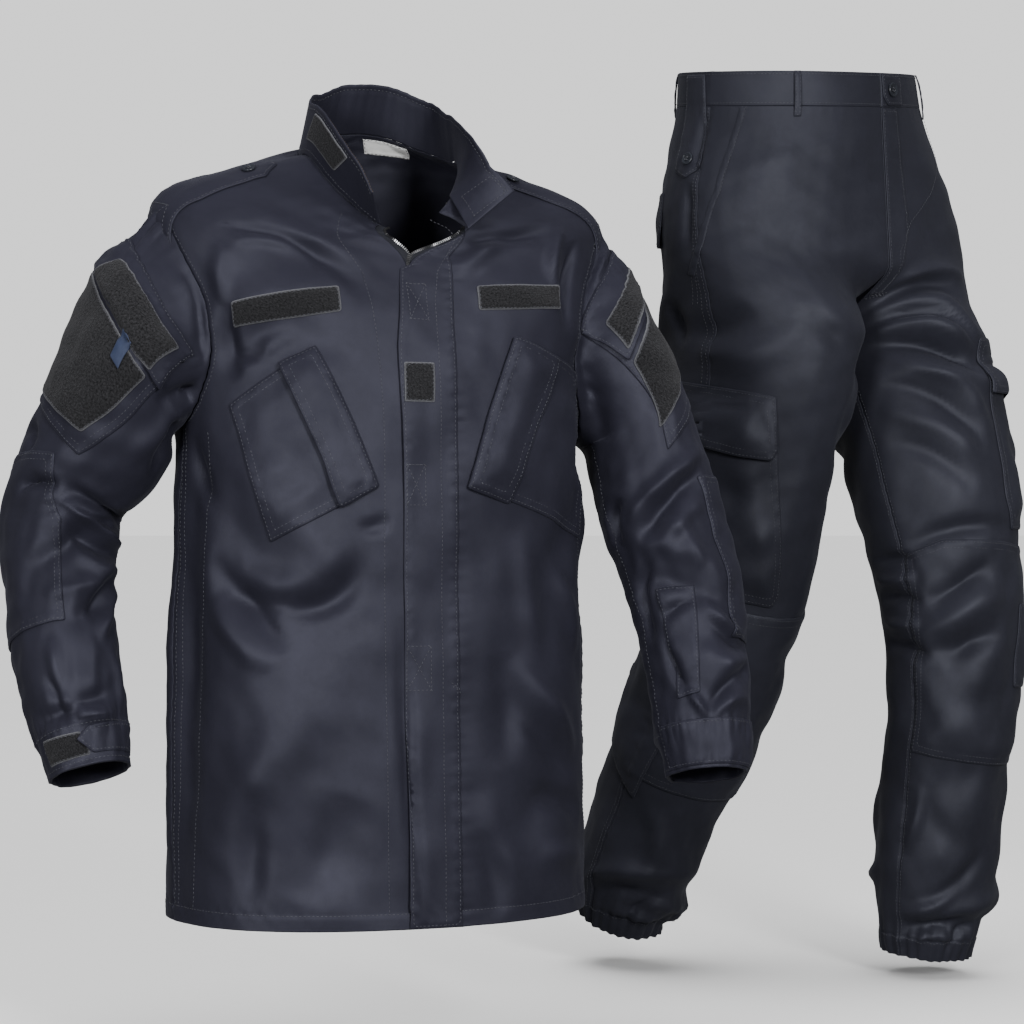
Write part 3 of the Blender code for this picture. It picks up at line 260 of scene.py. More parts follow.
SLEEVE_CREASES = {
    "right": [
        (137, -196, 80, -122, 7, -6, 2), (116, -190, 60, -120, 8, 5, 2), (80, -44, 52, -112, 9, -8, -10),
        (100, 6, 30, -56, 10, 6, 3), (66, 12, 40, -38, 8, -7, 3), (186, 86, 142, 62, 7, -7, 5),
        (150, 52, 12, 97, 9, -9, 4), (130, 76, 12, 130, 7, 7, -10), (116, 118, 14, 136, 8, -8, -12),
        (104, 148, 26, 158, 9, 5, -8), (90, 219, 44, 160, 8, -6, -2), (77, 246, 14, 168, 8, 6, 3),
        (200, 302, 60, 290, 8, -7, -8), (156, 286, 60, 312, 8, 7, -10), (158, 270, 146, 306, 6, -5, 4),
        (144, 236, 141, 288, 9, 4, 1), (60, 240, 40, 310, 9, 4, 3), (233, 39, 197, 53, 7, -6, 12),
        *SLEEVE_BACK_CREASES,
    ],
    "left": [
        (165, -180, 106, -130, 7, -7, 10), (189, -172, 140, -158, 7, 5, 8), (103, -118, 20, -6, 11, -9, -3),
        (90, -120, 14, -30, 10, 6, -3), (158, 30, 27, 98, 9, 7, 8), (142, 53, 41, 112, 8, -8, 4),
        (130, 84, 60, 128, 10, 5, 4), (34, 58, 8, 106, 8, -8, 8), (72, 94, 104, 156, 11, 5, -9),
        (94, 187, 164, 226, 8, 7, 8), (97, 203, 190, 226, 8, -6, 14), (42, 201, 90, 187, 7, -5, -5),
        (62, 275, 86, 305, 4.5, 6, -2), (87, 298, 163, 255, 7, -7, -7), (92, 303, 164, 286, 6, 5, -9),
        (100, 250, 170, 236, 9, 5, 5), (47, 130, 16, 217, 8, -6, 14), (40, 220, 62, 277, 7, -6, 3),
        *SLEEVE_BACK_CREASES,
    ],
}


def ripples(x, y, around, size, seed, count=9):
    """Uneven soft waves that come round to where they began."""
    rng = np.random.default_rng(seed)
    total = 0.0
    for _ in range(count):
        way = math.pi * rng.random()
        rate = 2 * math.pi / size * (0.65 + 0.7 * rng.random())
        rounds = round(rate * math.cos(way) * around / (2 * math.pi))
        shift = 2 * math.pi * rng.random()
        total = total + np.cos(rounds * 2 * math.pi / around * x + rate * math.sin(way) * y + shift)
    return total / math.sqrt(count / 2)


def creases(x, y, around, rows):
    """The heights of creases that may lie across the pattern's own start."""
    first = np.mod(x, around)
    return fold_heights(first, y, rows) + fold_heights(first - around, y, rows)


def puckers(off, along, seed, reach=9.0, deep=0.45):
    """Small uneven gathers beside a stitched seam, off mm from it."""
    wave = np.sin(along / 2.2 + 1.9 * np.sin(along / 23.0 + seed) + seed)
    return deep * wave * np.exp(-((off / reach) ** 2))


COAT_AROUND = float(2 * coat_round(180.0))
SIDE_MM = float(coat_round(SIDE_SEAM))


def coat_height(turn, up):
    turn = nearest(turn)
    x = coat_round(turn)
    height = fold_heights(x, up, COAT_FOLDS) + COAT_CREASED * creases(x, up, COAT_AROUND, COAT_CREASES)
    for gain, size, seed in ((0.72, 95, 11), (0.27, 36, 12)):
        height = height + gain * ripples(x, up, COAT_AROUND, size, seed)
    height = height + puckers(np.abs(x) - SIDE_MM, up, 1.0) * smooth_step((500 - up) / 30)
    height = height + puckers(up - HEM_STITCH, x + 0.8 * up, 2.0, 11.0, 0.55)
    height = height + puckers(x - 40, up, 5.0, 8.0, 0.5) * smooth_step((690 - up) / 20)
    reach = armhole_reach(up)
    before = SIDE_SEAM - ARMHOLE_FRONT * reach - np.abs(turn)
    behind = np.abs(turn) - SIDE_SEAM - ARMHOLE_BACK * reach
    edge = np.where(np.abs(x) < SIDE_MM, before, behind)
    return height + puckers(3.5 * edge, up, 3.0, 9.0, 0.5) * smooth_step(reach * 3)


def coat(turn, up):
    turn, up = np.broadcast_arrays(np.asarray(turn, float), np.asarray(up, float))
    points = bare_coat(turn, up) + coat_height(turn, up)[..., None] * ways_out(bare_coat, turn, up, 0.4, 1.0)
    return yawed(points, COAT_YAW)


def armhole_reach(up):
    """How far round the armhole reaches at a height, as a share of its greatest reach."""
    return np.sqrt(np.clip(1 - ((up - ARMHOLE_MIDDLE) / ARMHOLE_HALF) ** 2, 0, 1))


def armhole(side, turn):
    """The armhole's outline: 0 degrees is the underarm, 90 the front, 180 the shoulder's tip."""
    a = np.radians(turn)
    reach = np.where(np.sin(a) > 0, ARMHOLE_FRONT, ARMHOLE_BACK)
    return SIGN[side] * (SIDE_SEAM - reach * np.sin(a)), ARMHOLE_MIDDLE - ARMHOLE_HALF * np.cos(a)


# Sleeves

# round from the underarm in degrees, along the sleeve; half width, height, bow: all in mm
SLEEVE_BACK_FOLDS = [
    (200, 200, 330, 250, 14, 7, 0), (215, 250, 340, 290, 12, -6, 0),
]
SLEEVE_FOLDS = {
    "right": [
        (40, 150, 150, 235, 14, -8, 6), (20, 215, 120, 255, 12, 7, 6), (10, 245, 110, 290, 12, -6, 4),
        (60, 420, 190, 465, 12, 6, -8), (20, 440, 150, 485, 11, -6, -8), *SLEEVE_BACK_FOLDS,
    ],
    "left": [
        (30, 160, 130, 225, 14, 8, 6), (20, 195, 120, 260, 12, -7, 6), (40, 290, 140, 350, 14, 6, -6),
        (40, 450, 170, 420, 11, -6, 6), (60, 480, 190, 450, 11, 6, 6), *SLEEVE_BACK_FOLDS,
    ],
}


def sleeve_line(side):
    """The sleeve's sections with the length along its middle in front."""
    rows = SLEEVE_SECTIONS[side]
    steps = np.linalg.norm(np.diff(rows[:, :3], axis=0), axis=1)
    return np.column_stack([SLEEVE_START + np.concatenate([[0], np.cumsum(steps)]), rows])


def sleeve_end(side):
    return sleeve_line(side)[-1, 0]


def sleeve_ring(side, turn, along):
    """A point of the sleeve's own tube: 0 degrees is the side towards the body, 90 the front."""
    line = sleeve_line(side)
    x, y, z, across, depth = smooth_rows(line, along)
    ahead = np.stack(smooth_rows(line, np.asarray(along) + 1.0)[:3], axis=-1)
    behind = np.stack(smooth_rows(line, np.asarray(along) - 1.0)[:3], axis=-1)
    down = unit(ahead - behind)
    outward = SIGN[side] * COAT_ACROSS
    outward = unit(outward - (down @ outward)[..., None] * down)
    forward = SIGN[side] * np.cross(down, outward)
    a = np.radians(turn)[..., None]
    middle = np.stack([x, y, z], axis=-1)
    return middle - across[..., None] * np.cos(a) * outward + depth[..., None] * np.sin(a) * forward


def sleeve_start(side, turn):
    """The armhole, a seam's gap out from it, and the way that the sleeve leaves it."""
    place, out = coat(*armhole(side, turn)), ways_out(coat, *armhole(side, turn), 0.2, 0.6)
    round_it = coat(*armhole(side, turn + 0.5)) - coat(*armhole(side, turn - 0.5))
    away = -SIGN[side] * unit(np.cross(out, round_it))
    under = (((1 + np.cos(np.radians(turn))) / 2) ** 1.5)[..., None]
    leaves = away * (1 - under) + (out + np.array([0, 0, -0.3])) * under
    return place + SEAM_GAP * away, unit(leaves)


def head_ring(side, turn):
    """A point of the ring half way down the sleeve's head."""
    x, y, z, height, depth, tip = HEAD_RING[side]
    c, s = COAT_ACROSS[:2]
    rise = math.radians(tip)
    outward = np.array([SIGN[side] * c * math.cos(rise), SIGN[side] * s * math.cos(rise), math.sin(rise)])
    a = np.radians(turn)[..., None]
    return np.array([x, y, z]) - height * np.cos(a) * outward + depth * np.sin(a) * np.array([s, -c, 0.0])


def curve(start, leaves, end, arrives, t):
    """A smooth curve from a place and direction to another; the directions' lengths count."""
    return (
        (2 * t**3 - 3 * t**2 + 1) * start
        + (t**3 - 2 * t**2 + t) * leaves
        + (3 * t**2 - 2 * t**3) * end
        + (t**3 - t**2) * arrives
    )


HEAD_TURNS = np.arange(-6.0, 366.01, 0.5)
SLEEVE_HEADS = {}


def sleeve_head(side, turn):
    """The armhole's places, the ways that the sleeve leaves them and the head's length, looked up by turn."""
    if side not in SLEEVE_HEADS:
        start, leaves = sleeve_start(side, HEAD_TURNS)
        SLEEVE_HEADS[side] = np.column_stack([start, leaves, np.zeros(len(start))])
        down = np.broadcast_to(np.linspace(0, SLEEVE_START, 9), (len(HEAD_TURNS), 9))
        path = bare_sleeve(side, HEAD_TURNS[:, None], down)
        SLEEVE_HEADS[side][:, 6] = np.linalg.norm(np.diff(path, axis=1), axis=-1).sum(axis=1)
    return smooth_rows(np.column_stack([HEAD_TURNS, SLEEVE_HEADS[side]]), np.clip(turn, -5.5, 365.5))


def bare_sleeve(side, turn, along):
    """The sleeve's head joins the armhole to the tube, and past it the tube follows the arm."""
    turn, along = np.broadcast_arrays(np.asarray(turn, float), np.asarray(along, float))
    ring = sleeve_ring(side, turn, np.maximum(along, SLEEVE_START))
    looked_up = sleeve_head(side, turn)
    start, leaves = np.stack(looked_up[:3], axis=-1), np.stack(looked_up[3:6], axis=-1)
    middle = head_ring(side, turn)
    first = sleeve_ring(side, turn, np.full(turn.shape, SLEEVE_START))
    line = SLEEVE_SECTIONS[side]
    down = unit(line[1, :3] - line[0, :3])
    upper = np.linalg.norm(middle - start, axis=-1, keepdims=True)
    lower = np.linalg.norm(first - middle, axis=-1, keepdims=True)
    passes = unit(unit(middle - start) + unit(first - middle))
    t = np.clip(along / SLEEVE_START, 0, 1)[..., None]
    head = np.where(
        t < HEAD_HALF,
        curve(start, leaves * upper * HEAD_LEAVES[side], middle, passes * upper, t / HEAD_HALF),
        curve(middle, passes * lower, first, down * lower, (t - HEAD_HALF) / (1 - HEAD_HALF)),
    )
    return np.where((along < SLEEVE_START)[..., None], head, ring)


SLEEVE_AROUND = 360 * SLEEVE_ROUND
CUFF_BAND = 42.0


def sleeve_down(side, turn, along):
    """How far down the pattern a place is from the upper arm, and the length of the head above that."""
    length = sleeve_head(side, turn)[6]
    return np.where(along < SLEEVE_START, (along / SLEEVE_START - 1) * length, along - SLEEVE_START), length


def sleeve_height(side, turn, along):
    seed = 40 if side == "right" else 60
    down, length = sleeve_down(side, turn, along)
    x, from_seam = turn * SLEEVE_ROUND, down + length
    height = fold_heights(np.mod(turn, 360), along, SLEEVE_FOLDS[side])
    height = height + SLEEVE_CREASED * creases(x, down, SLEEVE_AROUND, SLEEVE_CREASES[side])
    height = height + ripples(x, down, SLEEVE_AROUND, 80, seed)
    height = height + 0.4 * ripples(x, down, SLEEVE_AROUND, 30, seed + 1)
    height = height + puckers(from_seam, x, 6.0, 15.0, 0.9)
    height = height + puckers(sleeve_end(side) - CUFF_BAND - along, x, 4.0, 12.0, 0.7)
    wrapped = np.mod(x, SLEEVE_AROUND)
    under = np.minimum(wrapped, SLEEVE_AROUND - wrapped)
    return (height + puckers(under, down, 8.0, 8.0, 0.5)) * smooth_step(from_seam / 14)


def sleeve(side, turn, along):
    turn, along = np.broadcast_arrays(np.asarray(turn, float), np.asarray(along, float))
    out = -SIGN[side] * ways_out(partial(bare_sleeve, side), turn, np.maximum(along, 2.0), 0.5, 1.0)
    return bare_sleeve(side, turn, along) + sleeve_height(side, turn, along)[..., None] * out


# Trousers

# round from the side seam through the front in degrees, down from the waist seam;
# half width, height, bow: all in mm
LEG_FOLDS = {
    "right": [
        (200, 260, 120, 330, 16, -6, 4), (90, 600, 190, 640, 16, -6, 6), (200, 600, 330, 640, 16, 7, 6),
        (190, 650, 330, 690, 14, -8, 4), (40, 900, 160, 930, 10, 8, 4), (60, 940, 200, 960, 9, -7, 4),
    ],
    "left": [
        (40, 300, 170, 250, 13, 7, -14), (50, 335, 170, 285, 13, -7, -14), (60, 375, 175, 320, 14, 6, -14),
        (100, 610, 190, 640, 14, -7, 4), (60, 760, 170, 690, 20, 6, 6), (30, 900, 150, 935, 12, 8, 4),
        (60, 940, 200, 960, 9, -8, 4),
    ],
}


def pelvis(turn, down):
    middle, half, front, back, tip, stepped, plain = smooth_rows(PELVIS_SECTIONS, down)
    e = np.radians(turn)
    c, s = np.cos(e), np.sin(e)
    square = 1 + np.where((c > 0) & (s > 0), stepped, plain) * np.sin(2 * e) ** 2
    y = middle - np.where(c > 0, front, back) * c * square
    tipped = tip * np.cos(e - math.radians(WAIST_TIPS))
    return np.stack([half * s * square, y, WAIST_Z - down + tipped], axis=-1)


def leg_ring(side, turn, down):
    """A point of the leg's own tube: 0 degrees is the side seam, 90 the front, 180 the inseam."""
    table = LEG_SECTIONS[side]
    x, y, half, depth = smooth_rows(table, down)
    ahead = smooth_rows(table, np.asarray(down) + 1.0)
    behind = smooth_rows(table, np.asarray(down) - 1.0)
    falls = np.full(x.shape, -2.0)
    lean = np.stack([SIGN[side] * (ahead[0] - behind[0]), ahead[1] - behind[1], falls], axis=-1)
    level = smooth_step((down - CROTCH) / 150)[..., None]
    run = unit(lean * level + np.array([0.0, 0.0, -2.0]) * (1 - level))
    outward = np.array([SIGN[side], 0.0, 0.0])
    outward = unit(outward - (run @ outward)[..., None] * run)
    forward = SIGN[side] * np.cross(run, outward)
    a = np.radians(turn)[..., None]
    middle = np.stack([SIGN[side] * x, y, WAIST_Z - down], axis=-1)
    return middle + half[..., None] * np.cos(a) * outward + depth[..., None] * np.sin(a) * forward


def bare_leg(side, turn, down):
    """0 to 180 is the front panel and 180 to 360 the back, above the crotch as well."""
    turn, down = np.broadcast_arrays(np.asarray(turn, float), np.asarray(down, float))
    front = turn <= 180
    share = np.where(front, turn, 360 - turn) / 180
    around = SIGN[side] * np.where(front, 90 - 90 * share, 90 + 90 * share)
    start = CROTCH - 85 - 75 * (1 - share)
    blend = smooth_step((down - start) / (CROTCH - start))[..., None]
    return pelvis(around, down) * (1 - blend) + leg_ring(side, turn, np.maximum(down, CROTCH - 160)) * blend


LEG_BACK_CREASES = [
    (360, 790, 430, 900, 18, 5, 8), (330, 900, 500, 930, 9, 7, 6), (300, 110, 400, 250, 20, -5, 10),
    (520, 200, 440, 330, 18, 5, 8),
]
LEG_CREASES = {
    "right": [
        (-30, 280, 40, 250, 13, -7, 5), (-16, 296, 84, 273, 18, 6, 18), (-8, 5, -8, 92, 9, -5, 3),
        (-19, 92, -17, 189, 9, -6, 0), (-60, 233, -34, 289, 7, -6, -5), (90, 250, 150, 300, 14, -4, 6),
        (250, 250, 170, 330, 16, -6, 4), (246, 290, 180, 380, 14, 6, 4), (150, 360, 250, 420, 16, -5, 8),
        (29, 800, 72, 889, 15, 5, -24), (100, 790, 180, 860, 16, -5, 8), (60, 840, 200, 880, 14, 5, 8),
        (-8, 931, 128, 905, 8, -7, -14), (-24, 921, 138, 876, 9, 7, -20), (27, 933, 133, 934, 6, 6, 0),
        (62, 953, 115, 900, 6, -6, -9), (150, 950, 230, 910, 8, 6, 6), (300, 300, 420, 350, 16, 6, 8),
        (306, 340, 430, 392, 14, -7, 8), (330, 570, 520, 560, 14, -7, -8), (330, 604, 530, 596, 12, 7, -6),
        (320, 646, 520, 640, 14, -7, 8), (340, 690, 500, 680, 12, 6, 8), *LEG_BACK_CREASES,
    ],
    "left": [
        (262, 215, 146, 207, 8, 7, 17), (260, 232, 150, 232, 7, -6, 22), (257, 248, 130, 268, 8, 7, 26),
        (250, 262, 133, 284, 6, -8, 26), (254, 274, 137, 297, 8, 7, 24), (254, 286, 138, 344, 8, -8, 26),
        (247, 296, 142, 419, 11, 7, 20), (252, 330, 154, 434, 9, -6, 12), (263, 362, 162, 449, 11, 6, 8),
        (266, 398, 179, 471, 9, -5, 8), (274, 515, 124, 514, 9, -7, 12), (336, 524, 258, 530, 6, -7, 3),
        (338, 546, 262, 552, 6, 7, -3), (340, 572, 258, 580, 6, -7, 3), (338, 600, 262, 606, 6, 6, -3),
        (340, 630, 250, 642, 7, -7, 4), (271, 639, 156, 569, 17, 9, 3), (253, 583, 168, 540, 11, -6, -4),
        (240, 650, 150, 620, 12, -5, 6), (273, 870, 254, 790, 9, 6, -6), (262, 800, 180, 860, 18, -4, -8),
        (276, 958, 146, 936, 7, -7, -1), (272, 942, 176, 890, 8, 7, -9), (248, 972, 168, 974, 5, 6, 12),
        (190, 988, 133, 950, 5, -6, 12), (237, 928, 144, 856, 9, -6, -5), (60, 900, 130, 940, 10, 6, 6),
        (90, 60, 60, 200, 14, -5, 6), (300, 330, 420, 360, 16, 6, 8), (306, 366, 430, 400, 14, -7, 8),
        (380, 560, 520, 570, 14, -7, -8), (380, 600, 530, 606, 12, 7, -6), (370, 646, 520, 640, 14, -7, 8),
        *LEG_BACK_CREASES,
    ],
}
LEG_AROUND = 360 * LEG_ROUND
LEG_HALF = LEG_AROUND / 2
LEG_CHANNEL = 24.0


def leg_end(side):
    return LEG_SECTIONS[side][-1, 0]


def leg_height(side, turn, down):
    seed = 80 if side == "right" else 100
    x = turn * LEG_ROUND
    height = fold_heights(turn, down, LEG_FOLDS[side])
    height = height + LEG_CREASED * creases(x, down, LEG_AROUND, LEG_CREASES[side])
    broad = 0.7 + 0.5 * smooth_step((down - 480) / 80)
    soft = broad * ripples(x, down, LEG_AROUND, 100, seed) + 0.35 * ripples(x, down, LEG_AROUND, 36, seed + 1)
    wrapped = np.mod(x, LEG_AROUND)
    from_side, from_inseam = np.minimum(wrapped, LEG_AROUND - wrapped), np.abs(wrapped - LEG_HALF)
    clear = smooth_step((from_inseam + np.maximum(down - CROTCH, 0)) / 30)
    height = height + soft * smooth_step(down / 60) * clear
    height = height + puckers(from_side, down, 2.0, 9.0, 0.55)
    height = height + puckers(from_inseam, down, 5.0, 9.0, 0.6) * smooth_step((down - CROTCH) / 40)
    gathers = np.sin(x / 3.4 + 1.7 * np.sin(x / 29.0 + seed)) * smooth_step((down - leg_end(side) + 70) / 62)
    return height + 1.5 * gathers + puckers(down, x, 1.0, 9.0, 0.35) * smooth_step(down / 3)


def leg(side, turn, down):
    turn, down = np.broadcast_arrays(np.asarray(turn, float), np.asarray(down, float))
    centre = np.where(turn <= 180, np.clip(turn, 0.5, 179.5), np.clip(turn, 180.5, 359.5))
    out = SIGN[side] * ways_out(partial(bare_leg, side), centre, down, 0.4, 1.0)
    points = bare_leg(side, turn, down) + leg_height(side, turn, down)[..., None] * out
    return yawed(points, TROUSERS_YAW, TROUSERS_X, TROUSERS_Y)


def slide_in(points):
    """Moves both sides of a grid of points in by half a seam's gap."""
    points = points.copy()
    points[:, 0] += SEAM_GAP / 2 * unit(points[:, 1] - points[:, 0])
    points[:, -1] += SEAM_GAP / 2 * unit(points[:, -2] - points[:, -1])
    return points


# The collar, from its end at the wearer's right round the back to its loose end at the left:
# turn on the neck seam, where its lower edge lies from there, and where its upper edge lies
COLLAR = np.array([
    [-15, 0, 0, 0, -6, -38, 26], [-30, 0, 0, 0, 6, -38, 31], [-50, 0, 0, 0, 15, -36, 34],
    [-67, 0, 0, 0, 16, -32, 38], [-84, 0, 0, 0, 14, -24, 45], [-100, 0, 0, 0, 12, -17, 50],
    [-120, 0, 0, 0, 13, -14, 52], [-140, 0, 0, 0, 14, -15, 50], [-180, 0, 0, 0, 12, -22, 47],
    [-220, 0, 0, 0, 3, -17, 50], [-240, 0, 0, 0, -3, -15, 51], [-260, 0, 0, 0, -6, -18, 48],
    [-276, 0, 0, 0, -3, -26, 42], [-290, 0, 0, 0, 6, -36, 34], [-300, 0, 0, 0, 16, -38, 31],
    [-317, 0, 0, 0, 40, -22, 27], [-327, 8, -24, -16, 52, -22, 16], [-337, 18, -38, -36, 63, -18, 4],
], float)
COLLAR_HOOK = [(-84, 0.30), (-50, 0.30), (-44, 0.86), (-80, 0.86)]  # turn, share of the collar's height
COLLAR_ROUND, COLLAR_TALL = 1.75, 50  # mm to a degree along the collar, and about how tall it is


def collar(turn, share):
    """A point of the collar: share 0 is its lower edge and 1 its upper."""
    turn, share = np.broadcast_arrays(np.asarray(turn, float), np.asarray(share, float))
    table = COLLAR[::-1]
    lower = np.stack([np.interp(turn, table[:, 0], table[:, k]) for k in (1, 2, 3)], axis=-1)
    upper = np.stack(smooth_rows(table[:, [0, 4, 5, 6]], turn), axis=-1)
    seam = coat(np.maximum(turn, -360 + NECK_OPEN_LEFT), NECK_AT)
    rise = upper - lower
    return seam + lower + unit(rise) * 2 * SEAM_GAP + share[..., None] * rise


# Making cloth


def set_points(surface, first, second, flip=1.0, step=0.3):
    """A surface's points, and the ways out at them."""
    return surface(first, second), flip * ways_out(surface, first, second, step, 1.0)


def place_on(cloth, plan):
    """Points and ways out at places on a cloth's pattern."""
    x, y = plan[..., 0], plan[..., 1]
    if cloth.startswith("coat"):
        points, outs = set_points(coat, coat_turn(x), y)
        return points, outs if cloth == "coat" else -outs
    kind, side = cloth.split("_")
    if kind == "sleeve":
        turn = x / SLEEVE_ROUND
        length = sleeve_head(side, turn)[6]
        along = np.where(y < 0, SLEEVE_START * (1 + y / length), SLEEVE_START + y)
        return set_points(partial(sleeve, side), turn, np.maximum(along, 1.0), -SIGN[side])
    turn = np.mod(x / LEG_ROUND, 360)
    turn = np.where(turn <= 180, np.minimum(turn, 179.6), np.maximum(turn, 180.4))
    return set_points(partial(leg, side), turn, y, SIGN[side])


def edge_spaced(count, length, first=(0.0, 1.0, 2.6, 5.2)):
    """Shares from 0 to 1, close together at both ends."""
    ends = np.array(first) / length
    middle = np.linspace(ends[-1], 1 - ends[-1], count - 2 * len(first) + 2)
    return np.concatenate([ends[:-1], middle, 1 - ends[:-1][::-1]])


def grid_faces(rows, columns, start=0):
    """The faces of a grid of points, of which the first is number start."""
    index = start + np.arange(rows * columns).reshape(rows, columns)
    return np.stack([index[:-1, :-1], index[:-1, 1:], index[1:, 1:], index[1:, :-1]], axis=-1).reshape(-1, 4)


def outward(points, outs, faces):
    """The faces turned so that they face the way out."""
    corners = points[faces[:, :3]]
    agrees = (np.cross(corners[:, 1] - corners[:, 0], corners[:, 2] - corners[:, 0]) * outs[faces[:, 0]]).sum()
    return faces if agrees > 0 else faces[:, ::-1]


def surface_area(points, faces):
    """The area of a sheet in square metres, from points in mm."""
    fan = [(0, 1, 2)] if faces.shape[1] == 3 else [(0, 1, 2), (0, 2, 3)]
    total = 0.0
    for a, b, c in fan:
        p, q, r = points[faces[:, a]], points[faces[:, b]], points[faces[:, c]]
        total += np.linalg.norm(np.cross(q - p, r - p), axis=1).sum() / 2
    return total * MM * MM


def object_of(name, data):
    """A new object in the scene."""
    made = bpy.data.objects.new(name, data)
    bpy.context.scene.collection.objects.link(made)
    return made


def cloth_mesh(name, points, outs, plan, faces, low, high, edge=0.0):
    """A closed wall over a sheet, with its pattern as its UV map and how near a place is to an edge."""
    count = len(points)
    faces = outward(points, outs, faces)
    high, low, edge = (np.broadcast_to(value, count) for value in (high, low, edge))
    places = np.concatenate([points + high[:, None] * outs, points + low[:, None] * outs])
    _, first, same = np.unique(np.round(points, 3), axis=0, return_index=True, return_inverse=True)
    same = first[same.reshape(-1)]
    starts, ends = faces.reshape(-1), np.roll(faces, -1, axis=1).reshape(-1)
    key, back = same[starts] * count + same[ends], same[ends] * count + same[starts]
    rim = ~np.isin(key, back) & (same[starts] != same[ends])
    a, b = starts[rim], ends[rim]
    rims = np.stack([b, a, a + count, b + count], axis=-1)
    if faces.shape[1] == 3:
        rims = np.concatenate([rims[:, [0, 1, 2]], rims[:, [0, 2, 3]]])
    drawn = np.concatenate([faces, faces[:, ::-1] + count, rims])
    used, merged = np.unique(np.concatenate([same, same + count])[drawn], return_inverse=True)
    mesh = bpy.data.meshes.new(name)
    mesh.from_pydata((places[used] * MM).tolist(), [], merged.reshape(drawn.shape).tolist())
    flat = np.concatenate([plan, plan])[drawn.reshape(-1)] * MM
    mesh.uv_layers.new(name="Pattern").data.foreach_set("uv", flat.astype(np.float32).ravel())
    near = mesh.attributes.new("edge", "FLOAT", "POINT")
    near.data.foreach_set("value", np.concatenate([edge, edge])[used].astype(np.float32))
    mesh.shade_smooth()
    return object_of(name, mesh), surface_area(points, faces)


def plain_mesh(name, points, faces, look, *nodes):
    """A small solid thing, kept as a piece, with its faces turned outward."""
    shape = bmesh.new()
    mesh = bpy.data.meshes.new(name)
    mesh.from_pydata((np.asarray(points) * MM).tolist(), [], [tuple(int(i) for i in f) for f in faces])
    mesh.materials.append(LOOKS[look])
    mesh.shade_smooth()
    shape.from_mesh(mesh)
    bmesh.ops.recalc_face_normals(shape, faces=shape.faces)
    shape.to_mesh(mesh)
    shape.free()
    keep(object_of(name, mesh), look, *nodes)


# metres, just over the least that a sheet's side may be
SHORTEST_SIDE = 0.0105  # SHORTEST_SIDE = 0.0105 # metres, the shortest that a cut's side is made


def keep(piece, look, *nodes):
    """Parents a piece to the root body, and hides the nodes that it stands for, if any."""
    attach(piece, "root")
    if nodes:
        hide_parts(*nodes)


def keep_cloth(made, look, nodes, wide, long, held, rests_on):
    """Dresses a cloth piece and keeps it; its cut's sides in mm are grown to hold its own area, then not used."""
    piece, area = made
    piece.data.materials.append(LOOKS[look])
    keep(piece, look, *nodes)
    wide, long = wide * MM, long * MM
    grow = max(1.0, math.sqrt(area / (wide * long)) * 1.001)
    wide, long = (max(SHORTEST_SIDE, math.ceil(side * grow * 1e4) / 1e4) for side in (wide, long))


def grid_cloth(node, points, outs, plan, low, high, look, rests_on, edge):
    """A hanging panel on a grid of points, in place of a node."""
    rows, columns = points.shape[:2]
    wide = np.linalg.norm(np.diff(points, axis=1), axis=-1).sum(axis=1).max()
    long = np.linalg.norm(np.diff(points, axis=0), axis=-1).sum(axis=0).max()
    low, high, edge = (np.broadcast_to(value, (rows, columns)).reshape(-1) for value in (low, high, edge))
    points, outs, plan = (grid.reshape(-1, grid.shape[-1]) for grid in (points, outs, plan))
    made = cloth_mesh(node + "_cloth", points, outs, plan, grid_faces(rows, columns), low, high, edge)
    keep_cloth(made, look, [node], wide, long, "hung", rests_on)


def flattened(grids):
    """The points, ways out and pattern places of several grids, one after another."""
    return (np.concatenate([grid.reshape(-1, grid.shape[-1]) for grid in group]) for group in zip(*grids))


def from_end(share, wide):
    """How far in mm a share of a width is from its nearer end."""
    return np.minimum(share, 1 - share) * wide


def pressed(off, deep=0.5, reach=2.2):
    """The dip of a seam, off mm from it."""
    return -deep * np.exp(-((off / reach) ** 2))


# Stitching: lines of places, with the way out at each, that Geometry Nodes sew along

STITCHES = {"coat": [], "trousers": [], "collar": [], "zip": []}


def stitch(group, placed, above=0.0, closed=False):
    """Adds a line of stitches over places that come with their ways out."""
    points, outs = placed
    points = points + above * outs
    if closed:
        points, outs = np.concatenate([points, points[:1]]), np.concatenate([outs, outs[:1]])
    STITCHES[group].append((points, outs))


def walked(corners, step=3.0):
    """Places a step apart along a line of corners."""
    corners = np.asarray(corners, float)
    kept = [corners[:1]]
    for a, b in zip(corners, corners[1:]):
        count = max(1, int(np.linalg.norm(b - a) / step))
        kept.append(a + (b - a) * np.linspace(0, 1, count + 1)[1:, None])
    return np.concatenate(kept)


def garment_of(cloth):
    """The garment whose stitching a cloth's lines belong to."""
    return "coat" if cloth.startswith(("coat", "sleeve")) else "trousers"


def stitch_on(cloth, corners, above=0.15, piece=None):
    """A line of stitches on a cloth's pattern, or on a piece that is sewn on it."""
    plan = walked(corners)
    if piece is not None:
        above = piece.top(plan)[:, None] + 0.12
    stitch(garment_of(cloth), place_on(cloth, plan), above)


# What is sewn on


def outline_loop(corners, radius=3.0, step=4.0):
    """An outline with its corners rounded, as places a step apart."""
    corners = [np.array(p, float) for p in corners]
    if sum(p[0] * q[1] - p[1] * q[0] for p, q in zip(corners, corners[1:] + corners[:1])) < 0:
        corners = corners[::-1]
    rounded = []
    for before, at, after in zip(corners[-1:] + corners[:-1], corners, corners[1:] + corners[:1]):
        back, on = np.linalg.norm(before - at), np.linalg.norm(after - at)
        r = min(radius, 0.4 * back, 0.4 * on)
        start, end = at + r * (before - at) / back, at + r * (after - at) / on
        for t in (0.0, 0.3, 0.7, 1.0):
            rounded.append((1 - t) ** 2 * start + 2 * t * (1 - t) * at + t * t * end)
    return walked(rounded + rounded[:1], step)[:-1]


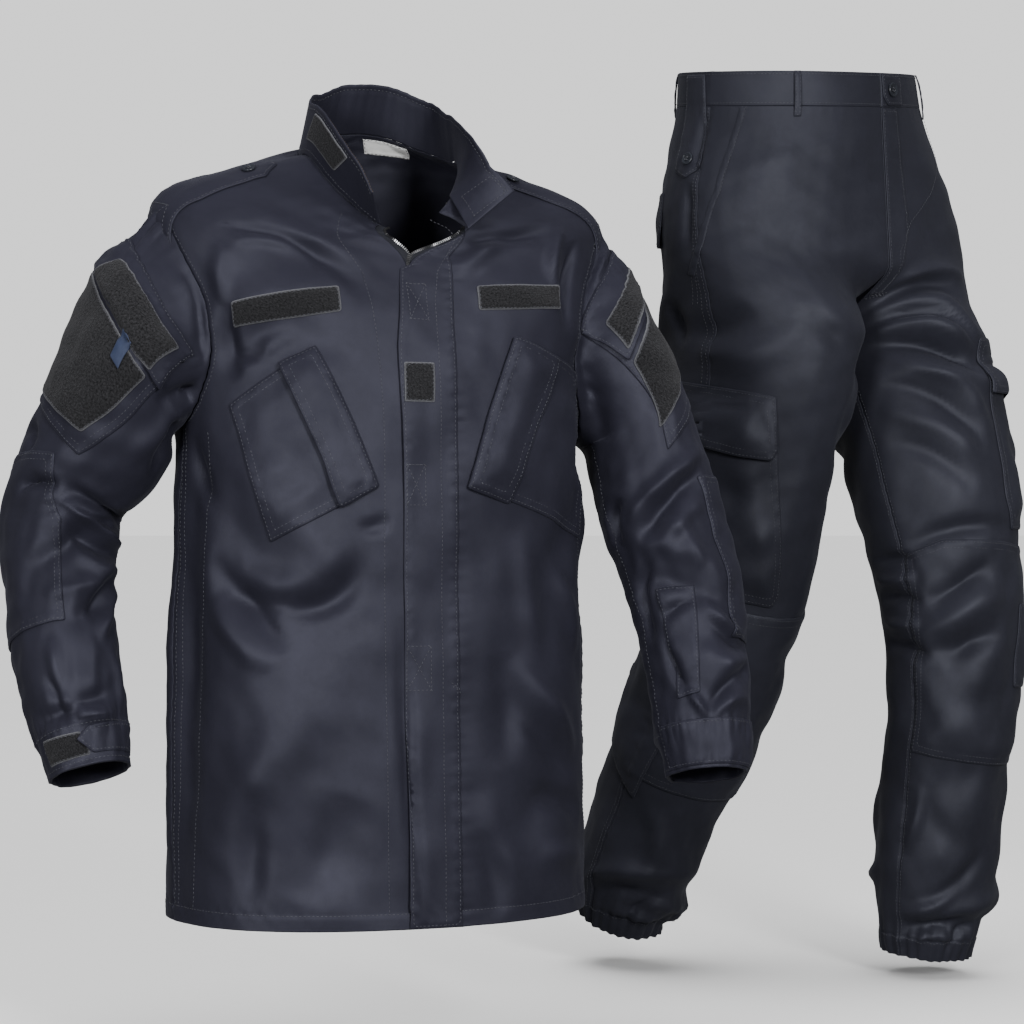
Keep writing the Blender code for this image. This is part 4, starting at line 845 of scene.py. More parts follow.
def inside_by(loop, at):
    """How far each place is inside the loop, negative outside it."""
    at = np.asarray(at, float).reshape(-1, 2)
    a, b = loop, np.roll(loop, -1, axis=0)
    along = b - a
    result = np.empty(len(at))
    for i in range(0, len(at), 4000):
        p = at[i : i + 4000, None]
        t = np.clip(((p - a) * along).sum(-1) / np.maximum((along**2).sum(-1), 1e-9), 0, 1)
        away = np.linalg.norm(p - a - t[..., None] * along, axis=-1).min(axis=1)
        crossed = (a[:, 1] > p[..., 1]) != (b[:, 1] > p[..., 1])
        rise = np.where(np.abs(along[:, 1]) < 1e-9, 1e-9, along[:, 1])
        left = p[..., 0] < along[:, 0] * (p[..., 1] - a[:, 1]) / rise + a[:, 0]
        result[i : i + 4000] = np.where((crossed & left).sum(axis=1) % 2 == 1, away, -away)
    return result


def inset_loop(loop, by):
    """A loop moved in by so many mm, less the places that would come too near its far side."""
    ahead, behind = np.roll(loop, -1, axis=0) - loop, loop - np.roll(loop, 1, axis=0)
    ahead, behind = unit(ahead), unit(behind)
    normal = unit(np.column_stack([-(ahead + behind)[:, 1], (ahead + behind)[:, 0]]))
    inner = loop + by * normal
    return inner[inside_by(loop, inner) > by * 0.94]


def cut_pattern(loop, step=3.8):
    """Places and triangles that fill a loop, close together along its edge."""
    rings = [inset_loop(loop, by) for by in (0.8, 2.6, 4.6)]
    low, high = loop.min(axis=0), loop.max(axis=0)
    x, y = np.meshgrid(np.arange(low[0], high[0], step), np.arange(low[1], high[1], step))
    grid = np.column_stack([x.ravel() + 0.13 * step * np.sin(y.ravel()), y.ravel()])
    grid = grid[inside_by(loop, grid) > 4.6 + 0.55 * step]
    places = np.concatenate([loop, *rings, grid])
    found = delaunay_2d_cdt([Vector(p) for p in places], [], [list(range(len(loop)))], 1, 1e-4)
    return np.array([tuple(v) for v in found[0]]), np.array([tuple(f) for f in found[2] if len(f) == 3])


def smallest_box(loop):
    """The sides of the smallest box round a loop, at any angle."""
    x, y = loop[:, 0], loop[:, 1]
    ways = [(math.cos(a), math.sin(a)) for a in np.linspace(0, math.pi / 2, 46)]
    _, c, s = min((np.ptp(c * x + s * y) * np.ptp(c * y - s * x), c, s) for c, s in ways)
    return np.ptp(c * x + s * y), np.ptp(c * y - s * x)


SEWN = {}
UNWRAPPED = 1e4  # a length round that no pattern reaches, for waves that needn't come round


class SewnOn:
    """A piece of cloth or tape sewn on a garment, perhaps over another."""

    def __init__(self, name, cloth, under, thick, look, corners, puff, insets, raised=None, radius=3.0):
        self.name, self.cloth, self.under, self.thick = name, cloth, [SEWN[other] for other in under], thick
        self.look, self.puff, self.insets, self.raised = look, puff, insets, raised
        self.loop = outline_loop(corners, radius)
        SEWN[name] = self

    def base(self, plan, inside):
        """How high the piece's underside is over the garment."""
        height = np.full(len(plan), SEAM_GAP)
        for other in self.under:
            reach = inside_by(other.loop, plan)
            height += other.top(plan, reach) * smooth_step((reach + 3.5) / 5.0)
        if self.raised is not None:
            height += self.raised(plan)
        x, y = plan[:, 0], plan[:, 1]
        soft = 0.5 + 0.5 * ripples(x, y, UNWRAPPED, 46, len(self.name) * 7 + int(self.loop[0, 0]) % 13)
        height += self.puff * smooth_step((inside - 3.0) / 26.0) * (0.75 + 0.5 * soft)
        gathers = ripples(x, y, UNWRAPPED, 9.5, 5)
        return height + 0.22 * (gathers + 1.4) * smooth_step(inside / 2) * np.exp(-((inside - 4) / 5.0) ** 2)

    def top(self, plan, inside=None):
        inside = inside_by(self.loop, plan) if inside is None else inside
        within = np.maximum(inside, 0)
        height = self.base(plan, within) + self.thick * (1 - 0.5 * np.exp(-within / 0.8))
        for inset in self.insets:
            height = height - 0.4 * np.exp(-(((within - inset) / 1.2) ** 2))
        return height

    def make(self, rests_on, cut=None):
        """Builds the piece. One that stands for no node hides no node and has no stitching of its own."""
        plan, faces = cut_pattern(self.loop)
        inside = np.maximum(inside_by(self.loop, plan), 0)
        points, outs = place_on(self.cloth, plan)
        base, top = self.base(plan, inside), self.top(plan, inside)
        low, edge = np.minimum(base, top - 0.5), np.exp(-inside / 1.1)
        made = cloth_mesh(self.name + "_cloth", points, outs, plan, faces, low, top, edge)
        if self.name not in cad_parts:
            keep_cloth(made, self.look, [], *(cut or np.ptp(self.loop, axis=0)), "laid", rests_on)
            return
        x, y = self.loop[:, 0], self.loop[:, 1]
        flat = abs((x * np.roll(y, -1) - y * np.roll(x, -1)).sum()) / 2
        share = math.sqrt(made[1] / MM / MM / flat)
        wide, long = smallest_box(self.loop)
        keep_cloth(made, self.look, [self.name], wide * share, long * share, "laid", rests_on)
        for inset in self.insets:
            ring = inset_loop(self.loop, inset)
            if len(ring) > 4:
                above = self.top(ring)[:, None] + 0.1
                stitch(garment_of(self.cloth), place_on(self.cloth, ring), above, closed=True)


# Finishes


class Wires:
    """A node tree being built: adds nodes and feeds their sockets."""

    def __init__(self, tree):
        self.tree = tree

    def feed(self, value, socket):
        """Joins an output to a socket, or sets the socket to a plain value."""
        if isinstance(value, bpy.types.NodeSocket):
            self.tree.links.new(value, socket)
        else:
            socket.default_value = value

    def node(self, kind, inputs=(), **settings):
        made = self.tree.nodes.new(kind)
        for key, value in settings.items():
            setattr(made, key, value)
        for key, value in dict(inputs).items():
            self.feed(value, made.inputs[key])
        return made

    def maths(self, operation, *values):
        return self.node("ShaderNodeMath", enumerate(values), operation=operation).outputs[0]

    def times(self, first, second):
        return self.maths("MULTIPLY", first, second)

    def plus(self, first, second):
        return self.maths("ADD", first, second)

    def minus(self, first, second):
        return self.maths("SUBTRACT", first, second)

    def noise(self, vector, scale, detail=2.0, roughness=0.5):
        inputs = {"Vector": vector, "Scale": scale, "Detail": detail, "Roughness": roughness}
        return self.node("ShaderNodeTexNoise", inputs).outputs["Fac"]

    def between(self, value, low, high, to_low=0.0, to_high=1.0):
        inputs = {"Value": value, "From Min": low, "From Max": high, "To Min": to_low, "To Max": to_high}
        return self.node("ShaderNodeMapRange", inputs, clamp=True).outputs["Result"]

    def colours(self, share, first, second):
        first, second = ((*colour, 1.0) if isinstance(colour, tuple) else colour for colour in (first, second))
        return self.node("ShaderNodeMix", {0: share, 6: first, 7: second}, data_type="RGBA").outputs[2]

    def bump(self, shader, height, strength, distance):
        inputs = {"Height": height, "Strength": strength, "Distance": distance}
        self.feed(self.node("ShaderNodeBump", inputs).outputs[0], shader.inputs["Normal"])

    def pattern_and_edge(self):
        """Where a place is on its cloth's pattern, and how near it is to an edge."""
        edge = self.node("ShaderNodeAttribute", attribute_name="edge")
        return self.node("ShaderNodeUVMap", uv_map="Pattern").outputs[0], edge.outputs["Fac"]


def effect(name, inputs, outputs):
    """A shader node group with named inputs and outputs, and the wires to fill it."""
    tree = bpy.data.node_groups.new(name, "ShaderNodeTree")
    for label, kind, value in inputs:
        socket = tree.interface.new_socket(label, in_out="INPUT", socket_type="NodeSocket" + kind)
        if value is not None:
            socket.default_value = value
    for label in outputs:
        tree.interface.new_socket(label, in_out="OUTPUT", socket_type="NodeSocketFloat")
    wires = Wires(tree)
    return wires, wires.node("NodeGroupInput"), wires.node("NodeGroupOutput")


def twill_weave():
    """Diagonal ribs of a twill, with the slubs of its yarns."""
    sockets = [("Pattern", "Vector", None), ("Ribs per Metre", "Float", 1100.0), ("Slub", "Float", 0.4)]
    w, given, out = effect("Twill Weave", sockets, ["Relief", "Tone"])
    across, up, _ = w.node("ShaderNodeSeparateXYZ", {0: given.outputs["Pattern"]}).outputs
    x, y = (w.times(way, given.outputs["Ribs per Metre"]) for way in (across, up))
    rib = w.maths("SINE", w.times(w.plus(x, w.times(y, 0.62)), 2 * math.pi))
    pick = w.maths("SINE", w.times(w.minus(y, w.times(x, 0.5)), 2 * math.pi))
    woven_up = w.plus(w.times(rib, 0.34), w.times(pick, 0.16))
    stretched = w.node("ShaderNodeCombineXYZ", {0: w.times(across, 1700.0), 1: w.times(up, 170.0)})
    slub = w.minus(w.noise(stretched.outputs[0], 1.0, 3.0, 0.6), 0.5)
    slub = w.times(slub, given.outputs["Slub"])
    w.feed(w.plus(w.plus(woven_up, 0.5), slub), out.inputs["Relief"])
    w.feed(w.plus(w.plus(w.times(woven_up, 0.5), 0.5), w.times(slub, 0.8)), out.inputs["Tone"])
    return w.tree


def cloth_drift():
    """How a worn and washed cloth's shade drifts over it, with its lint."""
    sockets = [("Pattern", "Vector", None), ("Patches per Metre", "Float", 9.0), ("Lint", "Float", 0.3)]
    w, given, out = effect("Cloth Drift", sockets, ["Shade", "Lint"])
    pattern = given.outputs["Pattern"]
    broad = w.noise(pattern, given.outputs["Patches per Metre"], 3.0, 0.55)
    fine = w.noise(pattern, 130.0, 4.0, 0.7)
    w.feed(w.plus(w.times(broad, 0.7), w.times(fine, 0.3)), out.inputs["Shade"])
    specks = w.between(w.noise(pattern, 620.0), 0.66, 0.78)
    w.feed(w.times(specks, given.outputs["Lint"]), out.inputs["Lint"])
    return w.tree


def loop_pile():
    """The looped face of a hook-and-loop tape: a tangle of dark and lighter threads."""
    sockets = [("Pattern", "Vector", None), ("Loops per Metre", "Float", 900.0)]
    w, given, out = effect("Loop Pile", sockets, ["Relief", "Speckle"])
    pattern, loops = given.outputs["Pattern"], given.outputs["Loops per Metre"]
    cell = w.node("ShaderNodeTexVoronoi", {"Vector": pattern, "Scale": loops}, feature="F1")
    tangle = w.noise(pattern, w.times(loops, 0.8), 4.0, 0.75)
    w.feed(w.plus(w.times(cell.outputs["Distance"], 0.6), w.times(tangle, 0.6)), out.inputs["Relief"])
    w.feed(w.between(tangle, 0.35, 0.72), out.inputs["Speckle"])
    return w.tree


GROUPS = {"weave": twill_weave(), "drift": cloth_drift(), "pile": loop_pile()}


def finish_of(name, roughness, sheen=0.0, sheen_tint=(1.0, 1.0, 1.0), sheen_rough=0.5, specular=0.5, metallic=0.0):
    """A material with its shader's own constants set, and the wires to feed the rest."""
    made = bpy.data.materials.new(name)
    made.use_nodes = True
    shader = made.node_tree.nodes["Principled BSDF"]
    shader.inputs["Roughness"].default_value = roughness
    shader.inputs["Metallic"].default_value = metallic
    shader.inputs["Specular IOR Level"].default_value = specular
    shader.inputs["Sheen Weight"].default_value = sheen
    shader.inputs["Sheen Roughness"].default_value = sheen_rough
    shader.inputs["Sheen Tint"].default_value = (*sheen_tint, 1.0)
    return made, Wires(made.node_tree), shader


def woven(name, dark, light, worn, roughness, sheen, tint, ribs=1100.0, relief=0.3, lint=0.25, wear=0.35):
    """Twill: its weave's relief, its drifting shade, and the paler yarn along stitched edges."""
    made, w, shader = finish_of(name, roughness, sheen, tint, 0.45, 0.32)
    shader.inputs["Specular Tint"].default_value = (*tint, 1.0)
    pattern, edge = w.pattern_and_edge()
    weave = w.node("ShaderNodeGroup", {"Pattern": pattern, "Ribs per Metre": ribs}, node_tree=GROUPS["weave"])
    drift = w.node("ShaderNodeGroup", {"Pattern": pattern, "Lint": lint}, node_tree=GROUPS["drift"])
    shade = drift.outputs["Shade"]
    tone = w.plus(w.times(weave.outputs["Tone"], 0.45), w.times(shade, 0.55))
    body = w.colours(w.between(tone, 0.36, 0.64), dark, light)
    rubbed = w.times(w.between(edge, 0.15, 0.9), w.times(w.between(shade, 0.35, 0.65), wear))
    w.feed(w.colours(w.maths("MAXIMUM", rubbed, drift.outputs["Lint"]), body, worn), shader.inputs["Base Color"])
    w.feed(w.between(shade, 0.3, 0.7, roughness + 0.06, roughness - 0.05), shader.inputs["Roughness"])
    w.bump(shader, weave.outputs["Relief"], relief, 0.0003)
    return made


def looped(name, dark, light, binding):
    """Hook-and-loop tape: its pile, and the thread that binds its edge."""
    made, w, shader = finish_of(name, 0.95, 0.08, (0.8, 0.8, 0.85), 0.6, 0.15)
    pattern, edge = w.pattern_and_edge()
    pile = w.node("ShaderNodeGroup", {"Pattern": pattern, "Loops per Metre": 640.0}, node_tree=GROUPS["pile"])
    speckle = pile.outputs["Speckle"]
    bound = w.times(w.between(edge, 0.2, 0.65), w.between(speckle, 0.0, 1.0, 0.6, 1.0))
    w.feed(w.colours(bound, w.colours(speckle, dark, light), binding), shader.inputs["Base Color"])
    w.feed(w.between(speckle, 0.0, 1.0, 1.0, 0.86), shader.inputs["Roughness"])
    w.bump(shader, pile.outputs["Relief"], 0.85, 0.0012)
    return made


def on_object(name, dark, light, roughness, scale, relief, distance, metallic=0.0, sheen=0.0):
    """A finish for small solid things, patterned where it is on the object."""
    made, w, shader = finish_of(name, roughness, sheen, metallic=metallic)
    place = w.node("ShaderNodeTexCoord").outputs["Object"]
    grain, broad = w.noise(place, scale, 3.0, 0.6), w.noise(place, scale / 12)
    mottled = w.plus(w.times(grain, 0.5), w.times(broad, 0.5))
    w.feed(w.colours(w.between(mottled, 0.35, 0.65), dark, light), shader.inputs["Base Color"])
    w.feed(w.between(grain, 0.3, 0.7, roughness - 0.07, roughness + 0.07), shader.inputs["Roughness"])
    w.bump(shader, grain, relief, distance)
    return made


LOOKS = {
    "coat": woven(
        "coat_twill", (0.0098, 0.0096, 0.0158), (0.0205, 0.0202, 0.0310), (0.042, 0.042, 0.052),
        0.50, 0.05, (0.78, 0.80, 1.0), wear=0.12, lint=0.15,
    ),
    "trousers": woven(
        "trouser_twill", (0.0120, 0.0123, 0.0180), (0.0250, 0.0256, 0.0360), (0.046, 0.048, 0.056),
        0.50, 0.05, (0.82, 0.85, 1.0), wear=0.12, lint=0.15,
    ),
    "loop": looped("loop_tape", (0.0018, 0.0018, 0.0022), (0.030, 0.030, 0.033), (0.13, 0.132, 0.145)),
    "blue_tape": woven(
        "blue_tape", (0.012, 0.018, 0.042), (0.026, 0.036, 0.075), (0.05, 0.06, 0.10),
        0.6, 0.05, (0.8, 0.85, 1.0), ribs=900.0,
    ),
    "label": woven(
        "label_satin", (0.74, 0.74, 0.73), (0.86, 0.86, 0.85), (0.95, 0.95, 0.95),
        0.5, 0.05, (1.0, 1.0, 1.0), ribs=1800.0, relief=0.15, lint=0.0, wear=0.5,
    ),
    "tape": woven(
        "zip_tape", (0.007, 0.0075, 0.010), (0.014, 0.015, 0.020), (0.03, 0.03, 0.036),
        0.65, 0.03, (0.8, 0.8, 0.9), ribs=900.0, relief=0.5,
    ),
    "teeth": on_object(
        "zip_metal", (0.20, 0.20, 0.21), (0.36, 0.36, 0.37), 0.36, 1500.0, 0.2, 0.0002, metallic=1.0
    ),
    "button": on_object("button_resin", (0.014, 0.016, 0.021), (0.030, 0.033, 0.043), 0.28, 700.0, 0.06, 0.0002),
    "thread": on_object(
        "tonal_thread", (0.022, 0.023, 0.033), (0.080, 0.083, 0.100), 0.62, 2500.0, 0.6, 0.0003, sheen=0.1
    ),
    "brown_thread": on_object(
        "brown_thread", (0.030, 0.020, 0.016), (0.085, 0.058, 0.045), 0.66, 2500.0, 0.6, 0.0003, sheen=0.1
    ),
}


# The coat


def coat_front_edge(side, up):
    """Degrees from centre front to the front's own edge, which spreads into the open neck."""
    spread = NECK_OPEN_RIGHT if side == "right" else NECK_OPEN_LEFT
    return spread * smooth_step((up - V_AT) / (NECK_AT - V_AT))


def coat_rows():
    """Heights from the hem to the neck, close together at the hem's stitching."""
    hem = [0.0, 1.2, 3, 6, 9.5, 12.5, 14, HEM_STITCH, 16, 17.5, 20]
    body = np.arange(24.5, 477, 4.6)
    around_arm = ARMHOLE_MIDDLE - ARMHOLE_HALF * np.cos(np.linspace(0, math.pi, 58))
    neck = np.linspace(TIP_AT, NECK_AT, 40)[1:]
    return np.concatenate([hem, body, around_arm, neck])


def hem_wall(up):
    """The outer and inner heights of the coat's cloth, doubled along the hem."""
    double = smooth_step((17.0 - up) / 2.0)
    return 0.5 * double + pressed(up - HEM_STITCH, 0.45, 1.6), -CLOTH - 0.7 * double


def coat_panel(node, up, start, end, share, off, rests_on, back=False):
    """A panel of the coat's body between two turns. Each of its columns is off mm from a sewn seam."""
    turn = start[:, None] * (1 - share) + end[:, None] * share
    rows = np.broadcast_to(up[:, None], turn.shape)
    points, outs = set_points(coat, turn, rows)
    x, edge = coat_round(nearest(turn)), np.exp(-rows / 1.5)
    if back:
        x = np.mod(x, COAT_AROUND)
    else:
        edge = np.maximum(edge, np.exp(-share * FRONT_WIDE / 1.5))
    high, low = hem_wall(up)
    high = high[:, None] + pressed(off, 0.7, 2.4)
    plan = np.stack([x, rows], axis=-1)
    grid_cloth(node, slide_in(points), outs, plan, low[:, None], high, "coat", rests_on, edge)


def make_coat_panels():
    up = coat_rows()
    reach = armhole_reach(up)
    share = edge_spaced(58, FRONT_WIDE)
    for side in SIGN:
        start, end = SIGN[side] * coat_front_edge(side, up), SIGN[side] * (SIDE_SEAM - ARMHOLE_FRONT * reach)
        off = (1 - share) * FRONT_WIDE
        coat_panel("coat_front_" + side, up, start, end, share, off, ["coat_back", "sleeve_" + side])
    share = edge_spaced(112, BACK_WIDE)
    start = SIDE_SEAM + ARMHOLE_BACK * reach
    others = ["collar", "sleeve_right", "sleeve_left"]
    coat_panel("coat_back", up, start, 360 - start, share, from_end(share, BACK_WIDE), others, back=True)


def stitch_coat():
    """The hem, the side seams, the armholes, the placket's edge and the yoke."""
    stitch_on("coat", [(-SIDE_MM + 3, HEM_STITCH), (SIDE_MM - 3, HEM_STITCH)], 0.25)
    hem = walked([(float(coat_turn(SIDE_MM + 3)), HEM_STITCH), (360 - 84.8, HEM_STITCH)], 0.8)
    stitch("coat", set_points(coat, hem[:, 0], hem[:, 1]), 0.25)
    height = np.linspace(UNDERARM_AT + 4, TIP_AT - 6, 90)
    for sign in (-1, 1):
        for off in (3.0, 9.0):
            stitch_on("coat", [(sign * (SIDE_MM - off), 18), (sign * (SIDE_MM - off), 476)])
        stitch_on("coat", [(sign * 219, 18), (sign * 215, 250), (sign * 206, 470)])
        for reach_by, off in ((ARMHOLE_FRONT, 1.9), (-ARMHOLE_BACK, -1.9)):
            turn = sign * (SIDE_SEAM - reach_by * armhole_reach(height) - off)
            stitch("coat", set_points(coat, turn, height), 0.15)
    stitch_on("coat", [(-98, 800), (-77, 749), (-41, 649), (-35, 537), (-34, 300), (-31, 18)])
    yoke = walked([(100.0, 705.0), (260.0, 705.0)], 1.0)
    stitch("coat", set_points(coat, yoke[:, 0], yoke[:, 1]), 0.15)


def make_sleeves():
    for side in SIGN:
        worn, end = partial(sleeve, side), sleeve_end(side)
        cuff = end - CUFF_BAND
        head = np.concatenate([[0.0, 0.4, 1.0], np.linspace(2.0, SLEEVE_START, 42)])
        band = cuff + np.array([-3.0, -1.4, -0.4, 0.8, 2.0, 4.0])
        above, below = np.arange(SLEEVE_START + 3.8, band[0] - 2, 3.8), np.arange(band[-1] + 3.5, end - 4, 3.5)
        along = np.concatenate([head, above, band, below, [end - 3.2, end - 1.4, end]])
        turn, along = np.meshgrid(np.linspace(0, 360, 106), along)
        points, outs = set_points(worn, turn, np.maximum(along, 0.0), -SIGN[side])
        points[:, -1] = points[:, 0]
        outs[:, 0] = outs[:, -1] = unit(outs[:, 0] + outs[:, -1])
        down, length = sleeve_down(side, turn, along)
        double = smooth_step((along - cuff) / 1.6)
        low = -CLOTH - 0.6 * double
        high = 0.7 * double + pressed(down + length, 0.6, 2.2) + pressed(along - end + 5, 0.3, 1.4)
        plan = np.stack([turn * SLEEVE_ROUND, down], axis=-1)
        rests_on, edge = ["coat_front_" + side, "coat_back"], np.exp(-(end - along) / 1.5)
        grid_cloth("sleeve_" + side, points, outs, plan, low, high, "coat", rests_on, edge)
        turns = np.linspace(0, 360, 110)
        for off in (cuff + 3.0, end - 5.0):
            stitch("coat", set_points(worn, turns, np.full(110, off), -SIGN[side]), 0.8)
        stitch_on("sleeve_" + side, [(3.5, -40), (3.5, end - SLEEVE_START - 4)], 0.3)


def lifting(start, end, rise):
    """Lifts a piece off what it lies on, from none at the start to all of the rise at the end."""
    way = np.subtract(end, start)
    return lambda plan: rise * smooth_step(((plan - start) @ way) / float(way @ way))


# Each sewn piece: the cloth it is sewn on, what lies under it there, how thick it is, its look, its corners
# in mm on that cloth's pattern, how far it puffs up, how far in its stitching is, and what lifts it, if anything
SEWN_PIECES = {
    "chest_pocket_right": (
        "coat", (), 1.7, "coat", [(-140, 366), (-42, 417), (-95, 557), (-180, 498)], 2.2, (2.6, 8.6),
    ),
    "chest_pocket_left": (
        "coat", (), 1.7, "coat", [(50, 418), (214, 368), (200, 538), (101, 570)], 2.2, (2.6, 8.6),
    ),
    "chest_flap_right": (
        "coat", ("chest_pocket_right",), 1.7, "coat", [(-77, 397), (-40, 417), (-93, 560), (-129, 539)], 1.4,
        (2.6, 9.0), lifting((-62, 488), (-103, 468), 4.0),
    ),
    "chest_flap_left": (
        "coat", ("chest_pocket_left",), 1.7, "coat", [(48, 416), (94, 401), (158, 550), (99, 573)], 1.4,
        (2.6, 9.0), lifting((126, 476), (74, 494), 3.2),
    ),
    "name_tape_right": (
        "coat", ("chest_flap_right",), 1.7, "loop", [(-167, 576), (-67, 598), (-65.5, 628), (-164, 602)], 0.3,
        (2.0,),
    ),
    "name_tape_left": (
        "coat", ("chest_flap_left",), 1.7, "loop", [(65, 604), (150, 603), (145, 629), (62, 634)], 0.3, (2.0,),
    ),
    "sleeve_pocket_right": (
        "sleeve_right", (), 1.7, "coat", [(87, -113), (199, -161), (244, -140), (244, 6), (144, 24), (87, -58)],
        2.4, (2.6, 8.0),
    ),
    "sleeve_pocket_left": (
        "sleeve_left", (), 1.7, "coat", [(104, -130), (188, -173), (236, -150), (236, -58), (99, 28)], 2.4,
        (2.6, 8.0),
    ),
    "sleeve_flap_right": (
        "sleeve_right", ("sleeve_pocket_right",), 1.7, "coat",
        [(86, -114), (199, -162), (242, -142), (242, -121), (86, -57)], 1.0, (2.6,),
        lifting((140, -120), (155, -80), 2.6),
    ),
    "sleeve_flap_left": (
        "sleeve_left", ("sleeve_pocket_left",), 1.7, "coat",
        [(103, -131), (188, -175), (238, -152), (228, -134), (107, -65)], 1.0, (2.6,),
        lifting((150, -135), (160, -95), 2.6),
    ),
    "sleeve_loop_right": (
        "sleeve_right", ("sleeve_pocket_right",), 1.7, "loop",
        [(105, -61), (225, -109), (241, -95), (241, -4), (149, 4)], 0.4, (2.0,),
    ),
    "sleeve_loop_left": (
        "sleeve_left", ("sleeve_pocket_left",), 1.7, "loop",
        [(109, -62), (213, -122), (204, -60), (140, -22), (95, 5)], 0.4, (2.0,),
    ),
    "flap_loop_right": (
        "sleeve_right", ("sleeve_flap_right",), 1.7, "loop", [(96, -102), (180, -133), (210, -97), (105, -66)],
        0.2, (2.0,),
    ),
    "flap_loop_left": (
        "sleeve_left", ("sleeve_flap_left",), 1.7, "loop",
        [(120, -108), (170, -134), (216, -146), (212, -124), (113, -73)], 0.2, (2.0,),
    ),
    "elbow_patch_right": (
        "sleeve_right", (), 1.7, "coat", [(166, 34), (285, 96), (270, 222), (120, 224), (122, 110)], 1.0,
        (2.6, 8.0),
    ),
    "elbow_patch_left": (
        "sleeve_left", (), 1.7, "coat", [(133, 58), (270, 62), (270, 222), (136, 224)], 1.0, (2.6, 8.0),
    ),
    "pen_pocket": ("sleeve_left", (), 1.7, "coat", [(41, 164), (91, 170), (79, 278), (47, 282)], 0.8, (2.6,)),
    "cuff_hook_right": (
        "sleeve_right", (), PATCH, "loop", [(116, 348), (126, 325), (194, 322), (194, 348)], 0.2, (2.0,),
    ),
    "cuff_tab_right": (
        "sleeve_right", ("cuff_hook_right",), 1.6, "coat",
        [(3, 318), (114, 321), (134, 332), (111, 347.5), (3, 347.5)], 0.6, (3.0,),
        lifting((90, 333), (132, 333), 1.6),
    ),
    "cuff_tab_left": (
        "sleeve_left", (), 1.6, "coat", [(3, 304), (182, 302), (204, 326), (180, 348), (3, 348)], 0.6, (3.0,),
        lifting((150, 325), (200, 325), 1.6),
    ),
    "cargo_pocket_right": (
        "leg_right", (), 1.9, "trousers",
        [(-90, 350), (62, 352), (80, 404), (114, 549), (108, 560), (-56, 560)], 4.5, (2.6, 8.6),
    ),
    "cargo_pocket_left": (
        "leg_left", (), 1.9, "trousers", [(-20, 300), (131, 300), (133, 480), (128, 512), (-20, 512)], 4.5,
        (2.6, 8.6),
    ),
    "cargo_flap_right": (
        "leg_right", ("cargo_pocket_right",), 1.6, "trousers",
        [(-96, 322), (68, 347), (79, 400), (74, 411), (-96, 398)], 1.6, (2.8, 8.8),
        lifting((0, 350), (0, 405), 4.5),
    ),
    "cargo_flap_left": (
        "leg_left", ("cargo_pocket_left",), 1.6, "trousers", [(-26, 270), (131, 276), (134, 366), (-26, 362)],
        1.6, (2.8, 8.8), lifting((50, 318), (50, 364), 4.5),
    ),
    "knee_patch_right": (
        "leg_right", (), 1.7, "trousers", [(4, 570), (275, 566), (275, 776), (4, 780)], 1.4, (2.8, 9.0),
    ),
    "knee_patch_left": (
        "leg_left", (), 1.7, "trousers", [(4, 538), (115, 528), (226, 512), (275, 522), (275, 752), (4, 766)],
        1.4, (2.8, 9.0),
    ),
    "calf_pocket_right": (
        "leg_right", ("knee_patch_right",), 1.9, "trousers",
        [(-96, 645), (31, 650), (29, 734), (20, 804), (-37, 784), (-96, 760)], 1.5, (2.8,),
    ),
    "calf_pocket_left": (
        "leg_left", ("knee_patch_left",), 1.9, "trousers", [(-16, 590), (123, 590), (123, 676), (-16, 676)],
        1.5, (2.8,),
    ),
    "seat_flap_right": (
        "leg_right", (), 1.6, "trousers", [(-178, 104), (-92, 104), (-88, 150), (-94, 170), (-178, 166)], 1.0,
        (2.8,), lifting((-130, 120), (-130, 166), 2.5),
    ),
    "seat_flap_left": (
        "leg_left", (), 1.6, "trousers", [(-178, 104), (-92, 104), (-88, 150), (-94, 170), (-178, 166)], 1.0,
        (2.8,), lifting((-130, 120), (-130, 166), 2.5),
    ),
    "fly": (
        "leg_left", (), PATCH, "trousers", [(246, 2), (278.2, 2), (278.2, 226), (262, 224), (246, 150)], 0.5,
        (2.8,),
    ),
}


def rests_under(cloth, name=""):
    if cloth.startswith("coat"):
        return ["coat_front_right", "coat_front_left"] if "epaulette" not in name else ["coat_back"]
    kind, side = cloth.split("_")
    return ["sleeve_" + side] if kind == "sleeve" else ["trouser_front_" + side, "trouser_back_" + side]


def sew(name, cloth, *rest, **more):
    piece = SewnOn(name, cloth, *rest, **more)
    piece.make(rests_under(cloth, name))
    return piece


def placket_lift(plan):
    """The placket's edge stands off the coat, more in some places than in others."""
    x, up = plan[:, 0], plan[:, 1]
    loose = 1.6 + 1.0 * np.sin(up / 61.0) + 0.6 * np.sin(up / 23.0 + 1.0) + 1.4 * smooth_step((130 - up) / 130)
    return loose * smooth_step((14 - x) / 26) * smooth_step((up + 10) / 30)


def crossed_box(x0, y0, x1, y1):
    """A stitched box with a cross, as corners of one line."""
    a, b, c, d = (x0, y0), (x1, y0), (x1, y1), (x0, y1)
    return [a, b, c, d, a, c, d, b]


